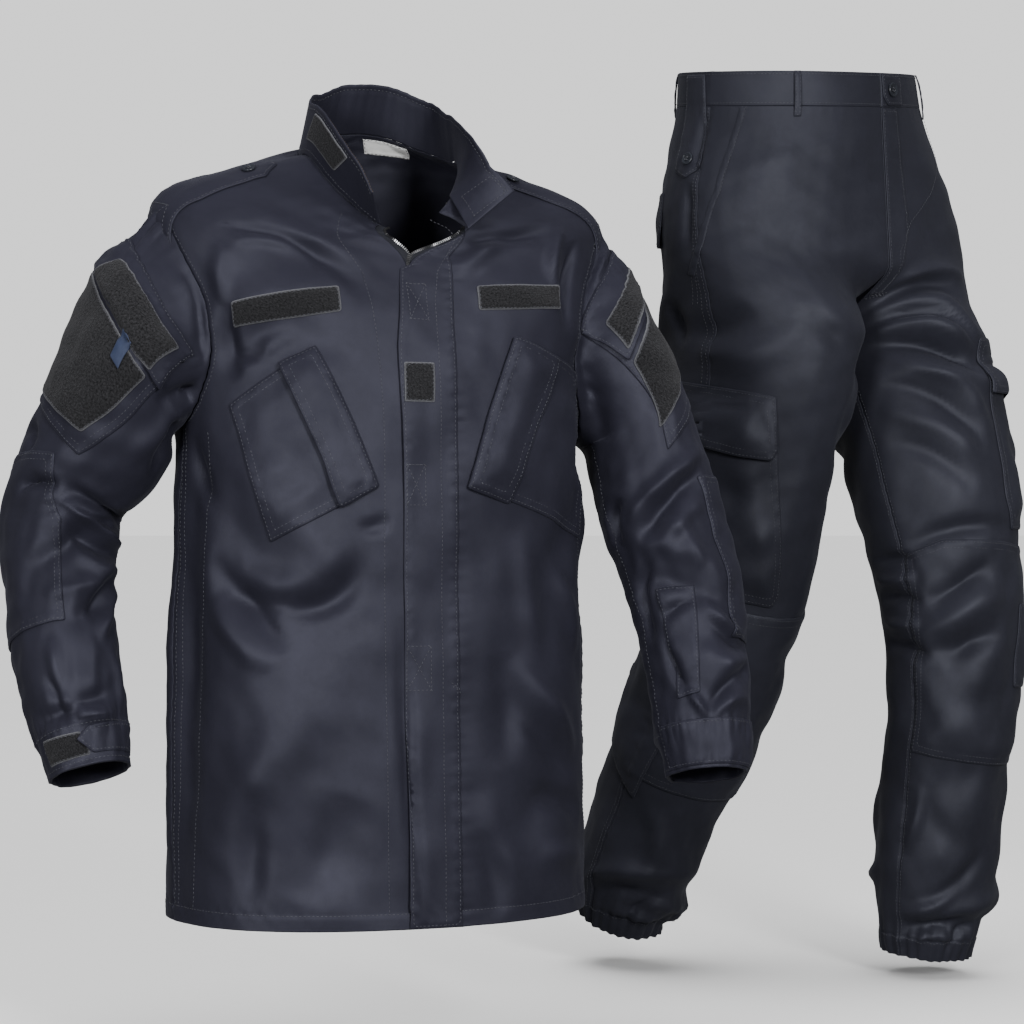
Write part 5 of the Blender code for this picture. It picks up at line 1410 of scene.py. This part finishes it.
def make_placket():
    up = np.linspace(849.5, 668, 40)
    x = coat_round(coat_front_edge("left", up)) + 0.4
    corners = [(-12, 0.3), (40, 0.3), (40, 684), (87, 772), (103, 849.5), *zip(x, up)]
    corners += [(-7, 662), (-18, 560), (-15, 300)]
    placket = sew("placket", "coat", (), PATCH, "coat", corners, 0.5, (2.6,), placket_lift, 2.0)
    stitch_on("coat", [(23, 3), (22, 617), (26, 655), (60, 745), (76, 845)], piece=placket)
    for box in ((-4, 591, 14, 637), (-14, 400, 6, 438), (-12, 226, 11, 268)):
        stitch_on("coat", crossed_box(*box), piece=placket)
    stitch_on("coat", [(32, 232), (40, 226), (33, 229), (40, 223)], piece=placket)
    tab = [(-13, 541), (17, 541), (16, 500), (-14, 500)]
    sew("rank_tab", "coat", ("placket",), PATCH, "loop", tab, 0.2, (2.0,), radius=1.5)


def collar_height(turn, share):
    return share * 0.35 * ripples(turn * COLLAR_ROUND, COLLAR_TALL * share, UNWRAPPED, 90, 21)


def within_collar(surface, turn, share):
    """The collar's ways out, kept just clear of its edges."""
    return ways_out(surface, np.clip(turn, -336.6, -15.4), np.clip(share, 0.03, 0.97), 0.3, 0.02)


def worn_collar(turn, share):
    return collar(turn, share) + collar_height(turn, share)[..., None] * within_collar(collar, turn, share)


def on_collar(turn, share, lift=0.0, side=1):
    """Places lifted off the collar's outer face, with the ways out of it, or of its inner face."""
    out = ways_out(worn_collar, turn, share, 0.3, 0.02)
    return worn_collar(turn, share) + lift * out, side * out


def make_collar():
    turns = np.concatenate([[-15, -15.6, -16.6], np.linspace(-18, -334, 165), [-335.5, -336.5, -337]])
    shares = [0, 0.025, 0.07, 0.13, 0.2, 0.3, 0.4, 0.5, 0.6, 0.7, 0.78, 0.84, 0.885, 0.92, 0.95, 0.98, 1.0]
    turn, share = np.meshgrid(turns, shares)
    points, outs = worn_collar(turn, share), within_collar(worn_collar, turn, share)
    off = np.minimum((1 - share) * COLLAR_TALL, np.minimum(-15 - turn, turn + 337) * COLLAR_ROUND + 0.01)
    dip = pressed(off - 5, 0.45, 1.7)
    high, low = dip - 0.7 * np.exp(-off / 0.8), -2.2 - dip + 0.7 * np.exp(-off / 0.8)
    plan = np.stack([turn * COLLAR_ROUND, share * COLLAR_TALL], axis=-1)
    grid_cloth("collar", points, outs, plan, low, high, "coat", ["coat_back"], np.exp(-off / 1.3))
    line = np.linspace(-18, -334, 190)
    for inset, lift, side in ((0.90, 0.1, 1), (0.90, -2.3, -1), (0.10, 0.1, 1)):
        stitch("coat", on_collar(line, np.full(190, inset), lift, side))
    box = walked([(-334, 0.2), (-334, 0.86), (-322, 0.86), (-322, 0.2), (-334, 0.2)], 0.06)
    for lift, side in ((0.1, 1), (-2.3, -1)):
        stitch("coat", on_collar(box[:, 0], box[:, 1], lift, side))
    brim = np.linspace(-16, -66, 60)
    inward = on_collar(brim, np.full(60, 0.97), side=-1)[1]
    stitch("collar", (worn_collar(brim, np.full(60, 0.985)), inward), 2.0)


def make_collar_hook():
    """The hook tape on the collar's right."""
    loop = outline_loop([(turn * COLLAR_ROUND, share * COLLAR_TALL) for turn, share in COLLAR_HOOK], 2.0)
    plan, faces = cut_pattern(loop, 3.2)
    inside = np.maximum(inside_by(loop, plan), 0)
    points, outs = on_collar(plan[:, 0] / COLLAR_ROUND, plan[:, 1] / COLLAR_TALL)
    top = SEAM_GAP + PATCH * (1 - 0.5 * np.exp(-inside / 0.8))
    made = cloth_mesh("collar_hook_cloth", points, outs, plan, faces, SEAM_GAP, top, np.exp(-inside / 1.1))
    keep_cloth(made, "loop", ["collar_hook"], 62, 30, "laid", ["collar"])


def make_label():
    corners = [(float(coat_round(turn)), up) for turn, up in ((150, 834), (178, 834), (177, 780), (158, 780))]
    label = SewnOn("neck_label", "coat_inside", (), 0.5, "label", corners, 0.3, (1.8,), lambda plan: CLOTH, 1.0)
    label.make(["coat_back"])


def make_zip():
    """The open top of the zip, a tape with its teeth along each front's edge."""
    up = np.linspace(V_AT + 13, NECK_AT, 56)
    gap = np.degrees(0.5 / smooth_rows(COAT_SECTIONS, up)[3])
    left_edge, right_edge = coat_front_edge("left", up), -coat_front_edge("right", up)
    middle = (left_edge + right_edge) / 2
    share = np.array([0, 0.1, 0.3, 0.5, 0.7, 0.88, 1.0])
    sheets = []
    for start, sign in ((right_edge + gap, 1), (left_edge - gap, -1)):
        mm_each = np.linalg.norm(coat(start + sign * 2.0, up) - coat(start, up), axis=-1) / 2.0
        inner = start + sign * np.minimum(TAPE_WIDE / mm_each, np.abs(middle - start) - gap * 0.3)
        turn = start[:, None] * (1 - share) + inner[:, None] * share
        rows = np.broadcast_to(up[:, None], turn.shape)
        points, outs = set_points(coat, turn, rows)
        sheets.append((points, outs, np.stack([coat_round(turn), rows], axis=-1)))
        stitch("zip", (points[:, -2], outs[:, -2]), -0.15)
    points, outs, plan = flattened(sheets)
    starts = (0, len(points) // 2)
    faces = np.concatenate([outward(points, outs, grid_faces(len(up), len(share), start)) for start in starts])
    made = cloth_mesh("zip_cloth", points, outs, plan, faces, -1.5, -0.5)
    long = max(np.linalg.norm(np.diff(sheet[0][:, 0], axis=0), axis=-1).sum() for sheet in sheets)
    keep_cloth(made, "tape", ["zip"], 2 * TAPE_WIDE, long, "laid", ["coat_front_right", "coat_front_left"])


def make_epaulettes():
    for side, button_at in (("right", (-228, 779)), ("left", (219, 786))):
        corners = [(-280, 650), (-217, 650), (-201, 714), (-200, 785), (-228, 812), (-276, 812)]
        corners = [(-SIGN[side] * x, up) for x, up in corners]
        strap = sew("epaulette_" + side, "coat", (), 2.0, "coat", corners, 0.6, (3.0,))
        stitch_on("coat", crossed_box(SIGN[side] * 268, 656, SIGN[side] * 226, 690), piece=strap)
        make_button("epaulette_button_" + side, "coat", button_at, 7.0, strap)


# Buttons


BUTTON_ROUND, BUTTON_DISH, HOLE_AT = 7.5, 2.05, 1.45  # the blank's radius, its dish's height, its holes' places


def tube_faces(rings, around):
    """Faces between rings of places."""
    steps = [(ring * around, k, (k + 1) % around) for ring in range(rings - 1) for k in range(around)]
    return [(at + k, at + n, at + around + n, at + around + k) for at, k, n in steps]


def ring_of(count, radius=1.0, x=0.0, y=0.0):
    angles = [2 * math.pi * k / count for k in range(count)]
    return [(x + radius * math.cos(a), y + radius * math.sin(a)) for a in angles]


def button_blank():
    """A dished button with four holes through it."""
    profile = [
        (5.4, 0.0), (6.7, 0.35), (7.3, 1.0), (BUTTON_ROUND, 1.6), (7.35, 2.2),
        (6.9, 2.65), (6.4, 2.75), (5.9, 2.6), (5.4, 2.25), (5.0, BUTTON_DISH),
    ]
    around, hole_sides = 48, 10
    points = [(x, y, z) for radius, z in profile for x, y in ring_of(around, radius)]
    faces = tube_faces(len(profile), around)
    last = (len(profile) - 1) * around
    holes = [(HOLE_AT, HOLE_AT), (-HOLE_AT, HOLE_AT), (-HOLE_AT, -HOLE_AT), (HOLE_AT, -HOLE_AT)]
    rim = [Vector(point[:2]) for point in points[last:]]
    hole_points = [Vector(place) for hole in holes for place in ring_of(hole_sides, 0.85, *hole)]
    loops = [list(range(around + hole_sides * h, around + hole_sides * (h + 1)))[::-1] for h in range(4)]
    places, _, plate, *_ = delaunay_2d_cdt(rim + hole_points, [], [list(range(around)), *loops], 4, 1e-5)

    def outside_holes(face):
        middle = sum((places[i] for i in face), Vector((0, 0))) / len(face)
        return min(math.hypot(middle.x - x, middle.y - y) for x, y in holes) > 0.8

    def plate_places(ring_start, z):
        """Where the plate's places are among the points, which gain those that aren't on the rim."""
        index = []
        for place in places:
            near = int(np.argmin([(place - r).length for r in rim]))
            if (place - rim[near]).length < 1e-4:
                index.append(ring_start + near)
            else:
                index.append(len(points))
                points.append((place.x, place.y, z))
        return index

    plate = [face for face in plate if outside_holes(face)]
    top, low = plate_places(last, BUTTON_DISH), plate_places(0, 0.0)
    faces += [tuple(top[i] for i in face) for face in plate]
    faces += [tuple(low[i] for i in face)[::-1] for face in plate]
    for h in range(4):
        hole = hole_points[hole_sides * h : hole_sides * (h + 1)]
        ids = [int(np.argmin([(place - p).length for place in places])) for p in hole]
        faces += [(top[b], top[a], low[a], low[b]) for a, b in zip(ids, ids[1:] + ids[:1])]
    return np.array(points), faces


def tube_points(path, radius, sides=6):
    """A round strand along a path, closed at its ends."""
    path = np.asarray(path, float)
    ahead = unit(np.gradient(path, axis=0))
    side = unit(np.cross(ahead, np.array([0.0, 0.0, 1.0])) + 1e-6)
    over = np.cross(side, ahead)
    angles = np.linspace(0, 2 * math.pi, sides, endpoint=False)
    points = []
    for place, s, o in zip(path, side, over):
        points += [place + radius * (math.cos(a) * s + math.sin(a) * o) for a in angles]
    ends = [tuple(range(sides))[::-1], tuple((len(path) - 1) * sides + k for k in range(sides))]
    return points, tube_faces(len(path), sides) + ends


BUTTON = button_blank()


def make_button(name, cloth, at, radius, on):
    ring = np.array([place for share in (0.0, 0.55, 1.0) for place in ring_of(12, radius * share, *at)])
    points, outs = place_on(cloth, ring)
    tops = points + on.top(ring)[:, None] * outs
    middle, out = points[0], unit(outs[:24].mean(axis=0))
    seat = ((tops - middle) @ out).max() + 0.15
    along = unit(np.cross(out, np.array([0.3, 0.2, 1.0])))
    across = np.cross(out, along)
    shape, faces = BUTTON
    size = radius / BUTTON_ROUND

    def put(v):
        v = np.asarray(v, float)
        return middle + (seat + v[:, 2:3] * size) * out + size * (v[:, 0:1] * along + v[:, 1:2] * across)

    plain_mesh(name + "_turned", put(shape), faces, "button", name)
    strands, strand_faces = [], []
    for y in (-HOLE_AT, HOLE_AT):
        for lift in (-0.3, 0.3):
            path = [
                (x, y + lift, BUTTON_DISH + 0.75 * (1 - (x / 1.9) ** 4) - (0.9 if abs(x) > 1.8 else 0))
                for x in np.linspace(-1.9, 1.9, 9)
            ]
            more, more_faces = tube_points(path, 0.3)
            strand_faces += [tuple(i + len(strands) for i in face) for face in more_faces]
            strands += more
    plain_mesh(name + "_thread", put(strands), strand_faces, "thread")


# The trousers


def half_leg(side, turns, rows, start):
    """A grid over a leg's front or back half, with its ways out kept clear of the seams."""
    turn, down = np.meshgrid(turns, rows)
    centre = np.clip(turn, start + 0.4, start + 180.0 - 0.4)
    return turn, down, leg(side, turn, down), SIGN[side] * ways_out(partial(leg, side), centre, down, 0.3, 1.0)


def make_trouser_panels():
    share = edge_spaced(56, LEG_HALF)
    for side in SIGN:
        end, cloth = leg_end(side), "leg_" + side
        channel = end - LEG_CHANNEL
        body, hem = np.arange(9, end - 29, 4.9), np.arange(end - 17, end - 4, 3.4)
        seam = channel + np.array([-2.5, -1.0, 0.2, 1.5, 3.5])
        rows = np.concatenate([[0.0, 1.2, 3.0, 5.5], body, seam, hem, [end - 2.6, end - 1.0, end]])
        for name, other, start in (("front", "back", 0.0), ("back", "front", 180.0)):
            turn, down, points, outs = half_leg(side, start + 0.001 + (180.0 - 0.002) * share, rows, start)
            double = smooth_step((down - channel) / 1.6)
            high = 0.6 * double + pressed(from_end(share, LEG_HALF), 0.7, 2.4)
            high = high + pressed(down - end + LEG_CHANNEL, 0.6, 1.8)
            plan, low = np.stack([turn * LEG_ROUND, down], axis=-1), -CLOTH - 0.6 * double
            rests_on, edge = ["waistband", "trouser_%s_%s" % (other, side)], np.exp(-(end - down) / 1.5)
            label = "trouser_%s_%s" % (name, side)
            grid_cloth(label, slide_in(points), outs, plan, low, high, "trousers", rests_on, edge)
        for x, top in ((-3.0, 3), (-9.0, 3), (LEG_HALF - 3.0, CROTCH + 10), (LEG_HALF + 3.0, CROTCH + 10)):
            stitch_on(cloth, [(x, top), (x, end - 3)], 0.2)
        for back in (0, 1):
            line = walked([(3.0, channel + 1.5), (276.0, channel + 1.5)], 2.0)
            stitch_on(cloth, line + np.array([back * LEG_HALF, 0.0]), 0.75)
        stitch_on(cloth, [(285, 3), (285, CROTCH - 20)], 0.2)
        for off in (4.0, 10.0):
            stitch_on(cloth, [(56 + off, 2), (33 + off, 106), (-21 + off, 206), (-24 + off, 240)], 0.2)
    stitch_on("leg_left", [(150, 12), (162, 56), (205, 104), (243, 140), (260, 175), (262, 224)], 1.6)
    stitch_on("leg_left", [(255, 222), (276, 226), (255, 225), (276, 229)], 1.6)


def make_waistband():
    rows = np.array([-WAISTBAND, -39.2, -38, -36, -32, -27, -21, -15, -9, -5, -2.8, -1.4, -0.3])
    columns = 58
    grids, centre_back = [], None
    for side in SIGN:
        for start in (0.0, 180.0):
            turns = np.linspace(start + 0.001, start + 180.0 - 0.001, columns)
            turn, down, points, outs = half_leg(side, turns, rows, start)
            x = turn * LEG_ROUND + (600 if side == "left" else 0)
            grids.append([points, outs, np.stack([x, down], axis=-1)])
        front, back = grids[-2][0], grids[-1][0]
        back[:, -1] = front[:, 0]
        if centre_back is None:
            centre_back = back[:, 0].copy()
        back[:, 0] = centre_back
        front[:, -1] += SEAM_GAP / 2 * unit(front[:, -2] - front[:, -1])
    points, outs, plan = flattened(grids)
    starts = range(0, len(points), len(rows) * columns)
    faces = np.concatenate([outward(points, outs, grid_faces(len(rows), columns, start)) for start in starts])
    from_top = plan[:, 1] + WAISTBAND
    off = np.minimum(from_top, -plan[:, 1])
    high = pressed(off - 3.5, 0.4, 1.5) + 0.3 - 0.8 * np.exp(-np.maximum(off, 0) / 0.8)
    edge = np.exp(-np.maximum(from_top, 0) / 1.3)
    made = cloth_mesh("waistband_cloth", points, outs, plan, faces, -2.2, high, edge)
    rests_on = ["trouser_front_right", "trouser_front_left", "trouser_back_right", "trouser_back_left"]
    keep_cloth(made, "trousers", ["waistband"], 1010, 41, "hung", rests_on)
    for side in SIGN:
        for down in (-36.5, -3.5):
            for start in (4, 284):
                stitch_on("leg_" + side, [(start, down), (start + 270, down)], 0.4)


def loop_rise(off):
    """Lifts a belt loop off the waistband by off mm at its middle."""
    return lambda plan: off * np.sin(np.clip((plan[:, 1] + WAISTBAND) / 53, 0, 1) * math.pi) ** 0.7


def make_waist_trim():
    hips = [(-60, -36), (-12, -36), (0, 74), (-27, 90), (-57, 80)]
    over_seam = lambda plan: 0.5 * smooth_step((-plan[:, 1]) / 8)
    for side in SIGN:
        tab = sew("side_tab_" + side, "leg_" + side, (), 1.8, "trousers", hips, 0.5, (3.0,), over_seam)
        make_button("side_button_" + side, "leg_" + side, (-27, 66), 7.5, tab)
    for side, place, turn, off in (
        ("right", "", 92, 2.6), ("left", "", 101, 3.4), ("right", "_back", 262, 2.6),
        ("left", "_back", 262, 2.6), ("right", "_seat", 205, 2.6), ("left", "_seat", 205, 2.6),
    ):
        x, name = turn * LEG_ROUND, "belt_loop_" + side + place
        corners = [(x - 5, -WAISTBAND), (x + 5, -WAISTBAND), (x + 5, 13), (x - 5, 13)]
        strip = SewnOn(name, "leg_" + side, (), 1.4, "trousers", corners, 0.2, (1.8,), loop_rise(off), 0.8)
        strip.make(["waistband"])
    end = [(277.5, -39), (233, -39), (233, -2), (266, -2), (275, -12)]
    tab = sew("waist_tab", "leg_left", (), 1.8, "trousers", end, 0.4, (3.0,), lambda plan: 0.3)
    make_button("waist_button", "leg_left", (258, -20), 8.5, tab)


def make_extras():
    """What stands for no node: the sleeve flap's pull tab and the edges of the slanted pockets."""
    under = ("sleeve_flap_right", "sleeve_loop_right")
    tab = [(128, -77), (140, -81), (144, -58), (132, -54)]
    tab = SewnOn("pull_tab", "sleeve_right", under, 1.0, "blue_tape", tab, 0.3, (2.0,), lambda plan: 1.2, 1.0)
    tab.make(["sleeve_flap_right"])
    slant = [(56, 2), (33, 106), (-21, 206), (-13, 210), (42, 108), (66, 2)]
    for side in SIGN:
        edge = SewnOn("pocket_edge_" + side, "leg_" + side, (), 0.8, "trousers", slant, 0.2, (2.4,), None, 1.0)
        edge.make(["trouser_front_" + side], (11, 245))


# Stitches and zip teeth, sewn along their lines by Geometry Nodes


def along_line_tree(name, solid, inputs):
    """A tree that sets small solids along a line: pitch, length, width and height are its named inputs."""
    tree = bpy.data.node_groups.new(name, "GeometryNodeTree")
    face = tree.interface
    face.new_socket("Line", in_out="INPUT", socket_type="NodeSocketGeometry")
    for label, value in (("Pitch", 0.0034), ("Length", 0.0024), ("Width", 0.0006), ("Height", 0.0005)):
        face.new_socket(label, in_out="INPUT", socket_type="NodeSocketFloat").default_value = value
    face.new_socket("Finish", in_out="INPUT", socket_type="NodeSocketMaterial")
    face.new_socket("Geometry", in_out="OUTPUT", socket_type="NodeSocketGeometry")
    w = Wires(tree)
    given, out = w.node("NodeGroupInput").outputs, w.node("NodeGroupOutput")
    line = w.node("GeometryNodeMeshToCurve", {0: given["Line"]}).outputs[0]
    even = w.node("GeometryNodeResampleCurve", {"Curve": line, "Length": given["Pitch"]}, mode="LENGTH")
    places = w.node("GeometryNodeCurveToPoints", {0: even.outputs[0]}, mode="EVALUATED").outputs
    way_out = w.node("GeometryNodeInputNamedAttribute", {"Name": "out"}, data_type="FLOAT_VECTOR")
    lies = w.node("FunctionNodeAlignRotationToVector", {"Vector": places["Tangent"]}, axis="X").outputs[0]
    turn = {"Rotation": lies, "Vector": way_out.outputs["Attribute"]}
    turned = w.node("FunctionNodeAlignRotationToVector", turn, axis="Z", pivot_axis="X").outputs[0]
    size = w.node("ShaderNodeCombineXYZ", {0: given["Length"], 1: given["Width"], 2: given["Height"]}).outputs[0]
    shape = {"Geometry": w.node(solid, inputs).outputs[0], "Scale": size}
    sized = w.node("GeometryNodeTransform", shape).outputs[0]
    sewn = {"Points": places["Points"], "Instance": sized, "Rotation": turned}
    real = w.node("GeometryNodeRealizeInstances", {0: w.node("GeometryNodeInstanceOnPoints", sewn).outputs[0]})
    painted = w.node("GeometryNodeSetMaterial", {"Geometry": real.outputs[0], "Material": given["Finish"]})
    w.feed(painted.outputs[0], out.inputs[0])
    return tree


def sewn_along(name, tree, lines, sizes, look, smooth=True):
    """Runs the tree along lines of places, and keeps the result as a plain mesh. Sizes are in mm."""
    points, edges, outs = [], [], []
    for places, ways in lines:
        start = len(points)
        points += (places * MM).tolist()
        outs += unit(ways).tolist()
        edges += [(start + k, start + k + 1) for k in range(len(places) - 1)]
    mesh = bpy.data.meshes.new(name + "_lines")
    mesh.from_pydata(points, edges, [])
    way = mesh.attributes.new("out", "FLOAT_VECTOR", "POINT")
    way.data.foreach_set("vector", np.array(outs, np.float32).ravel())
    lined = object_of(name + "_lines", mesh)
    sewing = lined.modifiers.new("Sewing", "NODES")
    sewing.node_group = tree
    sockets = {item.name: item.identifier for item in tree.interface.items_tree if item.in_out == "INPUT"}
    for label, value in zip(("Pitch", "Length", "Width", "Height"), sizes):
        sewing[sockets[label]] = value / 1000
    sewing[sockets["Finish"]] = LOOKS[look]
    bpy.context.view_layer.update()
    graph = bpy.context.evaluated_depsgraph_get()
    real = bpy.data.meshes.new_from_object(lined.evaluated_get(graph))
    real.name = name
    bpy.data.objects.remove(lined)
    if smooth:
        real.shade_smooth()
    keep(object_of(name, real), look)


def make_stitching():
    sewing = along_line_tree("Stitching", "GeometryNodeMeshUVSphere", {"Segments": 5, "Rings": 3, "Radius": 0.5})
    sewn_along("coat_stitching", sewing, STITCHES["coat"], (4.1, 3.1, 0.7, 0.6), "thread")
    sewn_along("trouser_stitching", sewing, STITCHES["trousers"], (4.1, 3.1, 0.7, 0.6), "thread")
    sewn_along("collar_edge_stitching", sewing, STITCHES["collar"], (2.6, 2.1, 1.2, 1.0), "brown_thread")
    teeth = along_line_tree("Zip Teeth", "GeometryNodeMeshCube", {"Size": (1.0, 1.0, 1.0)})
    sewn_along("zip_teeth", teeth, STITCHES["zip"], (2.1, 1.0, 2.4, 1.3), "teeth", smooth=False)


# The room


def make_floor():
    """A pale floor far wider than the view, that the cloth doesn't mirror."""
    floor, far = bpy.data.meshes.new("floor"), 60
    floor.from_pydata([(-far, -far, 0), (far, -far, 0), (far, far, 0), (-far, far, 0)], [], [(0, 1, 2, 3)])
    floor.transform(Matrix.Translation((0.2, 0.3, cad_box[0].z - 0.02)))
    ground = object_of("floor", floor)
    ground.visible_glossy = ground.visible_diffuse = False
    pale, w, shader = finish_of("pale_floor", 0.85, specular=0.1)
    place = w.node("ShaderNodeTexCoord").outputs["Object"]
    w.feed(w.colours(w.noise(place, 3.0), (0.90, 0.90, 0.90), (0.92, 0.92, 0.92)), shader.inputs["Base Color"])
    floor.materials.append(pale)


def make_world():
    """A pale backdrop that lights the cloth softly and shows in it only faintly."""
    world = bpy.data.worlds.new("studio")
    world.use_nodes = True
    w = Wires(world.node_tree)
    backdrop = world.node_tree.nodes["Background"]
    backdrop.inputs["Color"].default_value = (1.0, 1.0, 1.0, 1.0)
    ray = w.node("ShaderNodeLightPath").outputs
    soft, mirrored, seen = 0.30, 0.09, 1.25
    strength = w.between(ray["Is Glossy Ray"], 0.0, 1.0, soft, mirrored)
    w.feed(w.between(ray["Is Camera Ray"], 0.0, 1.0, strength, seen), backdrop.inputs["Strength"])
    bpy.context.scene.world = world


def make_lamps():
    for name, place, aim, wide, high, power in (
        ("key", (-1.0, -2.8, 0.05), (0.0, 0.1, -0.3), 0.7, 0.7, 56.0),
        ("fill", (1.5, -2.6, 0.6), (0.45, 0.35, -0.1), 0.6, 1.1, 74.0),
    ):
        lamp = bpy.data.lights.new(name, "AREA")
        lamp.shape, lamp.size, lamp.size_y, lamp.energy = "RECTANGLE", wide, high, power
        stand = object_of(name, lamp)
        stand.location = place
        stand.rotation_euler = (Vector(aim) - Vector(place)).to_track_quat("-Z", "Y").to_euler()
    overhead = bpy.data.lights.new("overhead", "SUN")
    overhead.energy, overhead.angle = 3.0, 0.9
    object_of("overhead", overhead).visible_glossy = False


def make_camera():
    camera = bpy.data.cameras.new("camera")
    camera.lens, camera.sensor_width = 96.68, 36.0
    camera.clip_start, camera.clip_end = 0.1, 200.0
    stand = object_of("camera", camera)
    stand.location = (0.134, -2.75, -0.312)
    stand.rotation_euler = (math.radians(90), 0, 0)
    bpy.context.scene.camera = stand


make_coat_panels()
stitch_coat()
make_sleeves()
make_placket()
for label, parts in SEWN_PIECES.items():
    sew(label, *parts)
make_extras()
make_collar()
make_collar_hook()
make_label()
make_zip()
make_epaulettes()
make_trouser_panels()
make_waistband()
make_waist_trim()
make_stitching()
make_floor()
make_world()
make_lamps()
make_camera()

bpy.context.view_layer.update()
